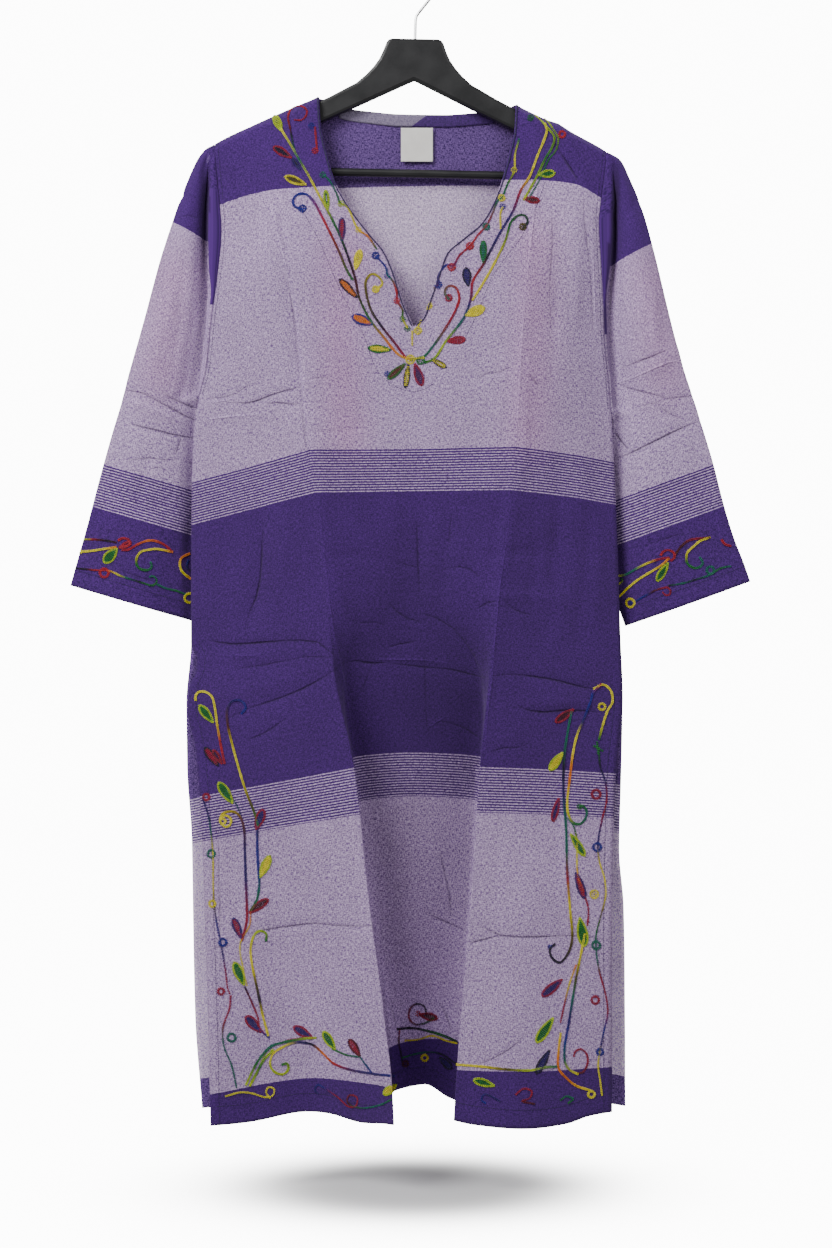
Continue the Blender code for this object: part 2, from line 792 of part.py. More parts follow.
def thin_panel(name, nets, colour, wall):
    """A cloth wall over one or more nets of points; nets that share an edge are joined along it."""
    mesh = bpy.data.meshes.new(name)
    cloth = bmesh.new()
    for net in nets:
        verts = [[cloth.verts.new(point * MM) for point in row] for row in net]
        for upper, lower in zip(verts, verts[1:]):
            for j in range(len(upper) - 1):
                cloth.faces.new((upper[j], lower[j], lower[j + 1], upper[j + 1]))
    bmesh.ops.remove_doubles(cloth, verts=cloth.verts, dist=WELD)
    cloth.to_mesh(mesh)
    cloth.free()
    thing = add_object(name, mesh, colour, CLOTH_ROUGHNESS)
    shell = thing.modifiers.new("wall", "SOLIDIFY")
    shell.thickness = wall * MM
    shell.offset = 0.0


def build_label():
    """A flat bare label that hangs just in front of the binding and the back panel."""
    depth = back_point(LABEL_LEVEL, CENTRE_PLACE).y - CLOTH_WALL / 2 - BINDING_GAP - BINDING_WALL - LABEL_OUT
    bpy.ops.mesh.primitive_cube_add(size=1.0)
    cube = bpy.context.object
    mesh = cube.data
    mesh.name = "neck_label"
    mesh.transform(Matrix.Diagonal((LABEL_SIZE[0] * MM, LABEL_WALL * MM, LABEL_SIZE[1] * MM, 1.0)))
    bpy.data.objects.remove(cube)
    label = add_object("neck_label", mesh, LABEL_WHITE, CLOTH_ROUGHNESS)
    label.location = (LABEL_CENTRE[0] * MM, depth * MM, LABEL_CENTRE[1] * MM)
    mesh.shade_flat()


def hanger_point(x, z):
    """Place of a point of the upright hanger once it leans about the foot of its hook."""
    lean = math.radians(HANGER_LEAN)
    up = z - HOOK_FOOT
    across = HANGER_X + x * math.cos(lean) + up * math.sin(lean)
    return across, HOOK_FOOT - x * math.sin(lean) + up * math.cos(lean)


def build_hanger_body():
    """The flat hanger, as a filled outline with rounded edges."""
    half = [(row.x, row.z) for row in HANGER_HALF]
    loop = [hanger_point(x, z) for x, z in half + [HANGER_APEX] + [(-x, z) for x, z in reversed(half)]]
    curve = bpy.data.curves.new("hanger_body", "CURVE")
    curve.dimensions = "2D"
    curve.fill_mode = "BOTH"
    spline = curve.splines.new("POLY")
    spline.points.add(len(loop) - 1)
    for point, (x, z) in zip(spline.points, loop):
        point.co = (x * MM, z * MM, 0.0, 1.0)
    spline.use_cyclic_u = True
    curve.extrude = (HANGER_THICKNESS / 2 - HANGER_EDGE) * MM
    curve.bevel_depth = HANGER_EDGE * MM
    curve.bevel_resolution = 1
    curve.offset = -HANGER_EDGE * MM
    thing = bpy.data.objects.new("hanger_body", curve)
    thing.rotation_euler = (math.pi / 2, 0.0, 0.0)
    make_solid(thing, HANGER_BLACK, 0.45)


def build_wire(name, route, radius, colour, roughness, metallic, sides):
    """A round rod or wire along a route."""
    curve = bpy.data.curves.new(name, "CURVE")
    curve.dimensions = "3D"
    curve.bevel_depth = radius * MM
    curve.bevel_resolution = sides
    curve.use_fill_caps = True
    spline = curve.splines.new("POLY")
    spline.points.add(len(route) - 1)
    for point, place in zip(spline.points, route):
        point.co = (*(place * MM), 1.0)
    make_solid(bpy.data.objects.new(name, curve), colour, roughness, metallic)


def hook_route():
    """Up out of the plate, a lean to one side, then round over the rail to the hook's tip."""
    ring = HOOK_INNER + HOOK_WIRE
    stem = table(
        "x z",
        (1.0, HOOK_FOOT + HOOK_GAP),
        (1.2, -70.0),
        (1.4, -62.0),
        (1.8, -56.0),
        (2.8, -52.4),
        (8.0, -45.5),
        (15.0, -36.8),
    )
    route = [Vector((row.x, 0.0, row.z)) for row in stem]
    for degrees in range(HOOK_START, HOOK_END, HOOK_STEP):
        turn = math.radians(degrees)
        route.append(Vector((ring * math.cos(turn), 0.0, ring * math.sin(turn) - HOOK_INNER)))
    steps = 2 * (len(route) - 1)
    return [curve_point(route, step / 2) for step in range(steps + 1)]


for old in list(bpy.data.objects):
    bpy.data.objects.remove(old)
tunic = bpy.data.collections.new("kurta_tunic_on_hanger")
bpy.context.scene.collection.children.link(tunic)

thin_panel("front_panel", [front_net(0), front_net(1)], LAVENDER, CLOTH_WALL)
thin_panel("back_panel", [back_net()], LAVENDER, CLOTH_WALL)
thin_panel("sleeve_left", [sleeve_net(CAP_LEFT, TUBE_LEFT, UNDERARM_LEFT, -1)], LAVENDER, CLOTH_WALL)
thin_panel("sleeve_right", [sleeve_net(CAP_RIGHT, TUBE_RIGHT, UNDERARM_RIGHT, 1)], LAVENDER, CLOTH_WALL)
thin_panel("back_neck_binding", [binding_net()], PURPLE, BINDING_WALL)
build_label()
build_hanger_body()
bar_points = [hanger_point(x, HOOK_FOOT - BAR_DROP) for x in (-BAR_HALF, 0.0, BAR_HALF)]
bar_route = [Vector((x, 0.0, z)) for x, z in bar_points]
build_wire("hanger_bar", bar_route, BAR_RADIUS, HANGER_BLACK, 0.45, 0.0, 4)
build_wire("hanger_hook", hook_route(), HOOK_WIRE, HOOK_STEEL, 0.25, 1.0, 2)
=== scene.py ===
import math

import bmesh
import bpy
import numpy as np
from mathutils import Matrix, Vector
from mathutils.bvhtree import BVHTree


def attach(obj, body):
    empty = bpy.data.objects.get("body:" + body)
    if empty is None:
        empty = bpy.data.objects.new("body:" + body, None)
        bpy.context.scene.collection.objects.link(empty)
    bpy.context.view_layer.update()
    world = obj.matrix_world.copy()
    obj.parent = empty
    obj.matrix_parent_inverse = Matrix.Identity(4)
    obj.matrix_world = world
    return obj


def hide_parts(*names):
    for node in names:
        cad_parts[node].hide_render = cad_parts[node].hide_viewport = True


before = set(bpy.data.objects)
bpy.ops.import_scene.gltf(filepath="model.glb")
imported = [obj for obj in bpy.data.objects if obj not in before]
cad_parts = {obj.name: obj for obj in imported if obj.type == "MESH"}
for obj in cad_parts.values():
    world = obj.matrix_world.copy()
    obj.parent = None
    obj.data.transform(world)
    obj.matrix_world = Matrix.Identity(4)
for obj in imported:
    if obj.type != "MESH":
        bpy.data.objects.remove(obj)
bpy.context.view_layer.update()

# Lengths in the tables are millimetres, and the scene is in metres.
# "down" is a length along the cloth, counted from neckLevel. -Y is the front.
mm = 0.001
neckLevel = -137.0
yokeEnd = 92.0             # where the purple shoulders end
eye = (2.0, -2600.0, -685.0)

cloth = {"wall": 1.0, "backHem": 1033.0, "shoulderEnd": 0.5, "shoulderRoll": 8.0, "neckTurn": 1.5}
neck = {"bottom": 241.0, "leftX": -98.5, "rightX": 105.0}


# Curves through tables
def glide(rows, column, at):
    # a smooth curve through a table's rows that never overshoots them
    rows = np.asarray(rows, float)
    place, value = rows[:, 0], rows[:, column]
    step = np.diff(value) / np.diff(place)
    both = step[:-1] * step[1:]
    slope = np.concatenate([step[:1], np.zeros(len(both)), step[-1:]])
    np.divide(2 * both, step[:-1] + step[1:], out=slope[1:-1], where=both > 0)
    at = np.clip(at, place[0], place[-1])
    i = np.clip(np.searchsorted(place, at, side="right") - 1, 0, len(place) - 2)
    span = place[i + 1] - place[i]
    u = (at - place[i]) / span
    return (
        (2 * u**3 - 3 * u**2 + 1) * value[i]
        + (u**3 - 2 * u**2 + u) * span * slope[i]
        + (3 * u**2 - 2 * u**3) * value[i + 1]
        + (u**3 - u**2) * span * slope[i + 1]
    )


def curveAt(points, place):
    # points [n, k, 3] and places [n]: place 0 is a curve's first point, 1 its second and so on
    row = np.arange(len(points))
    i = np.clip(place.astype(int), 0, points.shape[1] - 2)
    ends = np.concatenate(
        [2 * points[:, :1] - points[:, 1:2], points, 2 * points[:, -1:] - points[:, -2:-1]], axis=1
    )
    four = [ends[row, i + k] for k in range(4)]
    knots = [np.zeros(len(row))]
    for a, b in zip(four, four[1:]):
        knots.append(knots[-1] + np.sqrt(np.maximum(np.linalg.norm(b - a, axis=-1), 1e-6)))
    at = knots[1] + (place - i) * (knots[2] - knots[1])

    def mix(a, b, ka, kb):
        share = ((at - ka) / (kb - ka))[:, None]
        return a * (1 - share) + b * share

    first = mix(four[0], four[1], knots[0], knots[1])
    middle = mix(four[1], four[2], knots[1], knots[2])
    last = mix(four[2], four[3], knots[2], knots[3])
    return mix(mix(first, middle, knots[0], knots[2]), mix(middle, last, knots[1], knots[3]), knots[1], knots[2])


def roundPath(path, step):
    # a rounded line through a path's places, x and z of one after the other, with about one point every step
    path = np.reshape(np.asarray(path, float), (-1, 2))
    path = np.column_stack([path[:, 0], np.zeros(len(path)), path[:, 1]])
    places = []
    for i, length in enumerate(np.linalg.norm(np.diff(path, axis=0), axis=1)):
        count = max(1, int(round(length / step)))
        places += [i + k / count for k in range(count)]
    places = np.array(places + [len(path) - 1.0])
    return curveAt(np.repeat(path[None], len(places), axis=0), places)


def addObject(name, data):
    thing = bpy.data.objects.new(name, data)
    bpy.context.scene.collection.objects.link(thing)
    return thing


def linePoint(rows, down):
    return np.stack([glide(rows, 1, down), glide(rows, 2, down), neckLevel - down - glide(rows, 3, down)], axis=-1)


def sideRows(seam, side, below):
    return [(down, x, side * gap, sag) for down, x, gap, sag in seam] + below


# Sizes of the tunic's cut and hang
# seams: down, x, half the gap between front and back, and how far the cloth sags below its length
# other lines of a panel: down, x, y, sag; hems: x, down; necks: down, x; shoulders: x, z
seamLeft = [
    (0, -208, 8, 21), (28, -207, 8, 21), (92, -201.4, 6.5, 21), (115, -199.6, 6, 23), (163, -204.3, 5, 26),
    (203, -210.2, 4, 27), (255, -216.4, 2.2, 30), (281, -223.6, 0.8, 31), (325, -229.3, 0.8, 31),
    (370, -230.9, 0.8, 31), (537, -232, 0.8, 31),
]
seamRight = [
    (0, 202, 8, 14), (41, 200, 8, 14), (92, 194.2, 6.5, 14), (117, 191.6, 6, 14), (165, 194.4, 5, 12),
    (199, 196.3, 4, 11), (241, 197.9, 3.2, 11), (286, 202.6, 1.8, 11), (317, 204.9, 0.8, 10), (345, 206.4, 0.8, 10),
    (410, 209.6, 0.8, 10), (470, 211.8, 0.8, 9), (550, 214.4, 0.8, 8), (619, 216.9, 0.8, 8),
]
frontBelowLeft = [
    (552, -225.5, -3.5, 31), (566, -226.5, -5, 31), (582, -233, -7, 31), (604, -234.5, -10, 31),
    (650, -225.6, -14, 30), (738, -218.5, -24, 30), (838, -214.7, -32, 29), (938, -210.4, -42, 28),
    (1034, -207.5, -50, 27),
]
flankLeft = [
    (0, -178, -10, 14), (92, -175, -12.5, 13), (230, -168, -16, 14), (370, -167, -15, 15), (500, -165, -17, 15),
    (600, -160, -20, 16), (696, -146, -25, 16), (830, -126, -24, 16), (940, -112, -20, 15), (1036, -106, -20, 16),
]
foldLeft = [
    (0, -148, -10, 7), (92, -144, -17, 7), (210, -124, -25, 2), (370, -107, -31, -1), (500, -93, -36, -1),
    (600, -83, -40, 0), (696, -64, -46, -1), (830, -49, -54, 6), (920, -37, -60, 12), (1001, -28, -65, 17),
    (1036, -26, -66, 18),
]
centre = [
    (0, 0, -14, -2), (92, 0, -18, -2), (241, -0.6, -22, 0), (370, -0.5, -25, -2), (500, -2, -20, -5),
    (600, -3, -8, -9), (696, -4, 8, -14), (742, -3, 15, -14), (830, 2, 27, -10), (920, 7, 37, -6),
    (1001, 10, 43, -3), (1040, 11, 45, -2),
]
foldRight = [
    (0, 132, -10, -3), (92, 127, -17, -3), (210, 115, -25, -3), (370, 103.5, -31, -4), (500, 88, -36, -3),
    (600, 80, -40, -3), (696, 70, -46, -2), (830, 62, -53, -1), (920, 55, -58, 0), (1001, 49, -62, 0),
    (1053, 46, -63, 0),
]
flankRight = [
    (0, 172, -10, 3), (92, 170, -13, 2), (230, 158, -18, 2), (370, 158, -15, 2), (500, 154, -18, 2),
    (600, 150, -22, 2), (696, 144, -27, 2), (830, 132, -40, 2), (940, 118, -54, 2), (1056, 106, -64, 2),
]
frontBelowRight = [
    (661, 212.4, -6.5, 7), (696, 208.9, -11, 7), (775, 205.9, -18, 6), (878, 203.9, -24, 5), (982, 203.6, -28, 3),
    (1047, 203.5, -30, 2),
]
# down, how square the recess is, how far the folds' edges lie over it
frontTuck = [
    (0, 0, 0), (430, 0, 0), (520, 0.1, 0.1), (600, 0.7, 0.25), (660, 0.95, 0.4), (742, 1, 0.55), (900, 1, 0.85),
    (1020, 1, 1),
]
frontHem = [
    (-207, 1033), (-160, 1037), (-118, 1035), (-88, 1036.5), (-55, 1041.5), (-26, 1038), (10, 1037), (38, 1051),
    (64, 1055.5), (120, 1058.5), (157, 1056), (180, 1050), (204, 1047.5),
]
neckLeft = [
    (-1, -98.5), (29, -96.6), (57, -90.6), (85, -82.6), (106, -72.2), (125, -60), (146, -44.6), (164, -30.4),
    (186, -20.6), (216, -11.2), (241, -0.6),
]
neckRight = [
    (11, 105.4), (38, 103.9), (67, 97.8), (94, 90.1), (115, 82), (137, 69), (153, 50), (167, 33.5), (191, 24.4),
    (215, 15.8), (233, 9), (241, -0.6),
]
backBelowLeft = [
    (600, -237.6, 8, 33), (660, -237.4, 14, 36), (740, -233.2, 22, 36), (840, -232.4, 30, 32), (930, -231, 36, 28),
    (1032, -224, 40, 26),
]
backFlankLeft = [
    (0, -178, 10, 12), (92, -172, 12, 13), (281, -176, 13, 16), (500, -178, 17, 20), (700, -176, 30, 24),
    (1034, -168, 60, 24),
]
backFoldLeft = [
    (0, -148, 10, 6), (92, -130, 14, 4), (281, -112, 24, 3), (500, -106, 38, 5), (700, -104, 58, 10),
    (1034, -100, 86, 14),
]
backCentre = [
    (0, 0, 9, -1), (92, 0, 9.5, -1), (281, 0, 13, 0), (500, 0, 22, 0), (700, 2, 36, 0), (1034, 6, 60, 0),
]
backFoldRight = [
    (0, 138, 10, -2), (92, 122, 14, -1), (281, 106, 24, 0), (500, 104, 38, 2), (700, 108, 58, 6),
    (1034, 112, 84, 10),
]
backFlankRight = [
    (0, 172, 10, 4), (92, 166, 12, 4), (281, 160, 13, 6), (500, 164, 17, 8), (700, 168, 30, 14),
    (1034, 172, 58, 18),
]
backBelowRight = [
    (696, 215.8, 10, 20), (760, 214.8, 17, 23), (820, 220, 23, 24), (900, 221.8, 31, 24), (1031, 223.2, 40, 24),
]
shoulders = [
    (-209, -187.4), (-200, -182.4), (-179, -172.2), (-164, -165.6), (-145, -157.3), (-125, -148.8), (-107, -141),
    (-98.5, -137.6), (105, -145), (112, -148.8), (129, -157.3), (147, -165.6), (159, -171.8), (179, -182.2),
    (193, -189.8), (203, -196.2),
]
backNeck = [
    (-86, -142.4), (-70, -147), (-45, -150.4), (-15, -153), (31, -153.8), (61, -151.8), (80, -149.8), (94, -147.8),
]
# beside an armhole: down the seam, the outer edge's x and z, widths of strip and groove, swelling front and back
capLeft = [
    (36, 208.6, -187.4, 0, 0, 0, 0), (45, 216, -191.4, 2.8, 2.3, 3.4, 6.5), (56, 224.7, -201.8, 6, 5, 7, 13),
    (74, 235.1, -223.2, 8, 14, 9, 22), (93, 243.4, -244, 11, 20, 10, 28), (116, 250.9, -266, 13, 23, 11, 31),
    (147, 263.2, -306.4, 10, 22, 11, 32), (184, 274.3, -348, 3, 17, 11, 31), (228, 286.2, -389.6, 2, 13, 10, 28),
    (258, 296.7, -427, 1.5, 11, 9, 26),
]
# below the underarm: the outer edge's x and z, the inner edge's x and z, its depth, swelling front and back
tubeLeft = [
    (304.9, -459, 224.1, -449.6, 0, 8, 24), (307.9, -469, 223.2, -459, 6, 8, 24),
    (312.3, -484, 222.4, -476, 12, 8, 22), (320.7, -514.4, 220, -524, 17, 8, 20),
    (332.4, -556, 220, -574, 18, 8, 19), (343.9, -597.6, 221, -625, 19, 8, 19), (350.8, -622, 222, -655, 19, 9, 19),
    (357.2, -645, 223, -684.5, 19, 10, 20),
]
capRight = [
    (49, 201.4, -195, 0, 0, 0, 0), (64, 213.4, -202.8, 6, 5, 6, 13), (80, 223.7, -223.2, 9, 14, 8, 22),
    (97, 232.6, -244, 12, 20, 9, 28), (121, 239.8, -266, 13, 23, 10, 31), (163, 250.8, -306.4, 8, 22, 11, 32),
    (202, 261.2, -348, 2.5, 17, 11, 31), (245, 272, -389.6, 2, 13, 10, 28), (284, 284.2, -431.2, 1.5, 11, 9, 26),
]
tubeRight = [
    (294.8, -464, 205.2, -464.2, 0, 8, 24), (298.2, -475, 204.4, -474, 6, 8, 24),
    (303.8, -493, 202.6, -494, 13, 8, 22), (310, -514.4, 198, -537, 18, 8, 20), (320.4, -556, 199, -588, 19, 8, 19),
    (332.9, -597.6, 205, -637, 20, 8, 19), (341.4, -619.5, 213.5, -663, 20, 9, 19),
    (349.2, -641, 222, -687, 20, 10, 20),
]
# stations round a sleeve: shares of the way out from the seam, and of each depth
capFront = [
    (0, 0, 0, 1, 0, 0), (0.5, 0, 0, 1, 0, 0.15), (1, 0, 0, 0.9, 0, 0), (1, 1.2, 0, 1, 0.3, 0),
    (1, 5, 0, 1, 0.62, 0), (1, 0, 0.2, 1, 0.32, 0), (1, 0, 0.36, 0, 0, 0.75), (1, 0, 0.6, 0, 0, 1),
    (1, 0, 0.85, 0, 0, 0.6),
]
capBack = [
    (1, 0, 0), (0.82, 0, 0.55), (0.52, 0, 1), (0.26, 0, 0.98), (0.08, 0.4, 0.6), (0, 1, 0),
]
tubeStations = [
    (0, 1, 0, 0, 0), (0.015, 0.9, -1.5, 0, 0), (0.04, 0.8, -2, 0, 0), (0.08, 0.62, 1, 0, 0), (0.14, 0.45, 1, 0, 0),
    (0.22, 0.2, 0, 0, 0), (0.4, 0, 0, 0.7, 0), (0.62, 0, 0, 1, 0), (0.86, 0, 0, 0.6, 0), (1, 0, 0, 0, 0),
    (0.84, 0, 0, 0, 0.55), (0.56, 0, 0, 0, 0.95), (0.28, 0, 1.5, 0, 1), (0.07, 0.2, 1, 0, 0.95), (0, 1, 0, 0, 0),
]
frontLines = [
    sideRows(seamLeft, -1, frontBelowLeft), flankLeft, foldLeft, centre,
    foldRight, flankRight, sideRows(seamRight, -1, frontBelowRight),
]
backLines = [
    sideRows(seamLeft, 1, backBelowLeft), backFlankLeft, backFoldLeft, backCentre,
    backFoldRight, backFlankRight, sideRows(seamRight, 1, backBelowRight),
]
backTop = sorted(shoulders + backNeck)
recess = {
    "lap": 5.0,                  # how far the folds' edges lie over it
    "brink": 0.03, "inner": 0.3,
    "noseOut": (-1.5, -2.0), "noseBack": 16.0,
    "cornerOut": (2.5, 1.5), "cornerAhead": 4.0,
}


# The panels' surfaces
def frontSection(down):
    # fifteen stations across: side, flank, the fold's brink, edge and inner side, two turns of the recess,
    # the centre, and the same back
    side, flank, fold, middle, foldAcross, flankAcross, sideAcross = [linePoint(rows, down) for rows in frontLines]
    tuck, lap = glide(frontTuck, 1, down)[:, None], glide(frontTuck, 2, down)[:, None]

    def turn(flank, fold, sign, noseOut, cornerOut):
        edge = fold + lap * np.array([sign * recess["lap"], 0.0, 0.0])
        brink = edge + (flank - edge) * recess["brink"]
        nose = fold + (middle - fold) / 3
        corner = fold + (middle - fold) * 2 / 3
        squareNose = np.stack([edge[:, 0] + sign * noseOut, fold[:, 1] + recess["noseBack"], nose[:, 2]], axis=-1)
        squareCorner = np.stack(
            [fold[:, 0] + sign * cornerOut, middle[:, 1] - recess["cornerAhead"], corner[:, 2]], axis=-1
        )
        nose, corner = nose + (squareNose - nose) * tuck, corner + (squareCorner - corner) * tuck
        return [brink, edge, edge + (nose - edge) * recess["inner"], nose, corner]

    near = turn(flank, fold, 1, recess["noseOut"][0], recess["cornerOut"][0])
    far = turn(flankAcross, foldAcross, -1, recess["noseOut"][1], recess["cornerOut"][1])
    return np.stack([side, flank, *near, middle, *far[::-1], flankAcross, sideAcross], axis=1)


def backSection(down):
    lines = np.stack([linePoint(rows, down) for rows in backLines], axis=1)
    inner = [curveAt(lines, np.full(len(down), place)) for place in (2 + 1 / 3, 2 + 2 / 3, 3 + 1 / 3, 3 + 2 / 3)]
    stations = [lines[:, 0], lines[:, 1], lines[:, 2], inner[0], inner[1], lines[:, 3]]
    return np.stack([*stations, inner[2], inner[3], lines[:, 4], lines[:, 5], lines[:, 6]], axis=1)


def shoulderTurn(points, below, side):
    # draws the top of a panel in over the hanger's arm, towards the shoulder seam
    turn = np.sin(np.clip(below / cloth["shoulderRoll"], 0, 1) * math.pi / 2)
    seam = side * cloth["shoulderEnd"]
    points[:, 1] = seam + (points[:, 1] - seam) * turn
    return points


def frontPoint(down, place):
    points = curveAt(frontSection(down), place)
    return shoulderTurn(points, glide(shoulders, 1, points[:, 0]) - points[:, 2], -1)


def backPoint(down, place):
    points = curveAt(backSection(down), place)
    inside = np.minimum(points[:, 0] - neck["leftX"], neck["rightX"] - points[:, 0])
    below = glide(backTop, 1, points[:, 0]) - points[:, 2]
    return shoulderTurn(points, below + np.maximum(0, inside * cloth["neckTurn"]), 1)


def topDown(section, edge, place):
    # length down the cloth at which a panel's top edge lies
    down = np.full(len(place), 15.0)
    for _ in range(4):
        points = curveAt(section(down), place)
        down = down + points[:, 2] - glide(edge, 1, points[:, 0])
    return down


def placeAtX(down, x, low, high):
    # place across the front at which the cloth has a given x
    low, high = np.full(len(down), float(low)), np.full(len(down), float(high))
    section = frontSection(down)
    for _ in range(26):
        middle = (low + high) / 2
        short = curveAt(section, middle)[:, 0] < x
        low, high = np.where(short, middle, low), np.where(short, high, middle)
    return (low + high) / 2


def evenPlaces(stops, counts):
    # places across a panel, with the given number of strips between each two stops
    places = [np.linspace(a, b, count, endpoint=False) for a, b, count in zip(stops, stops[1:], counts)]
    return np.concatenate([*places, [stops[-1]]])


grid = {
    "shoulderRows": np.linspace(0, 1, 30) ** 1.7,
    "bodyStep": 3.05,
    "bodyEnd": 1001.0,
    "hemRows": 12,
    "frontPlaces": evenPlaces((0, 1, 2, 3, 4, 5, 6, 7), (14, 17, 3, 3, 8, 13, 9)),
    "backPlaces": evenPlaces((0, 1, 2, 5, 8, 9, 10), (14, 17, 32, 32, 17, 14)),
    "backCentre": 63,          # the column of the back's centre
    "widthRow": 130,           # the row along which widths are measured
}


def bodyRows():
    count = int(round((grid["bodyEnd"] - yokeEnd) / grid["bodyStep"]))
    return np.linspace(yokeEnd, grid["bodyEnd"], count + 1)[1:]


def shoulderDowns(downs, places, section, edge):
    # fills in the lengths of a panel's first rows, from its top edge down to the yoke's end
    for i, share in enumerate(grid["shoulderRows"]):
        top = topDown(section, edge, places[i])
        downs[i] = top + share * (yokeEnd - top)


def frontNet(side):
    # places and lengths of one half of the front, from the side to the neck edge or the centre
    edge = (neckLeft, neckRight)[side]
    search = ((1, 7), (7, 13))[side]
    shares = grid["frontPlaces"] / 7
    reach = np.concatenate([edge[0][0] + grid["shoulderRows"] * (yokeEnd - edge[0][0]), bodyRows()])
    inner = np.where(reach < neck["bottom"], placeAtX(reach, glide(edge, 1, reach), *search), 7.0)
    inner = np.concatenate([inner, np.full(grid["hemRows"], 7.0)])
    if side == 0:
        places = inner[:, None] * shares[None]
    else:
        places = 14 - shares[::-1][None] * (14 - inner[:, None])
    downs = np.empty_like(places)
    shoulderDowns(downs, places, frontSection, shoulders)
    first = len(grid["shoulderRows"])
    last = len(downs) - grid["hemRows"]
    downs[first:last] = bodyRows()[:, None]
    across = places[-1]
    hem = glide(frontHem, 1, curveAt(frontSection(np.full(len(across), cloth["backHem"])), across)[:, 0])
    for k in range(grid["hemRows"]):
        downs[last + k] = grid["bodyEnd"] + (hem - grid["bodyEnd"]) * (k + 1) / grid["hemRows"]
    return downs, places


def backNet():
    rows = len(grid["shoulderRows"]) + len(bodyRows()) + grid["hemRows"]
    places = np.repeat(grid["backPlaces"][None], rows, axis=0)
    downs = np.empty_like(places)
    shoulderDowns(downs, places, backSection, backTop)
    hem = np.linspace(grid["bodyEnd"], cloth["backHem"], grid["hemRows"] + 1)[1:]
    downs[len(grid["shoulderRows"]):] = np.concatenate([bodyRows(), hem])[:, None]
    return downs, places


def netPoints(point, net):
    downs, places = net
    return point(downs.ravel(), places.ravel()).reshape(*downs.shape, 3)


def netNormals(points, sign):
    down = np.gradient(points, axis=0)
    across = np.gradient(points, axis=1)
    normals = np.cross(down, across) * sign
    return normals / np.maximum(np.linalg.norm(normals, axis=-1, keepdims=True), 1e-9)


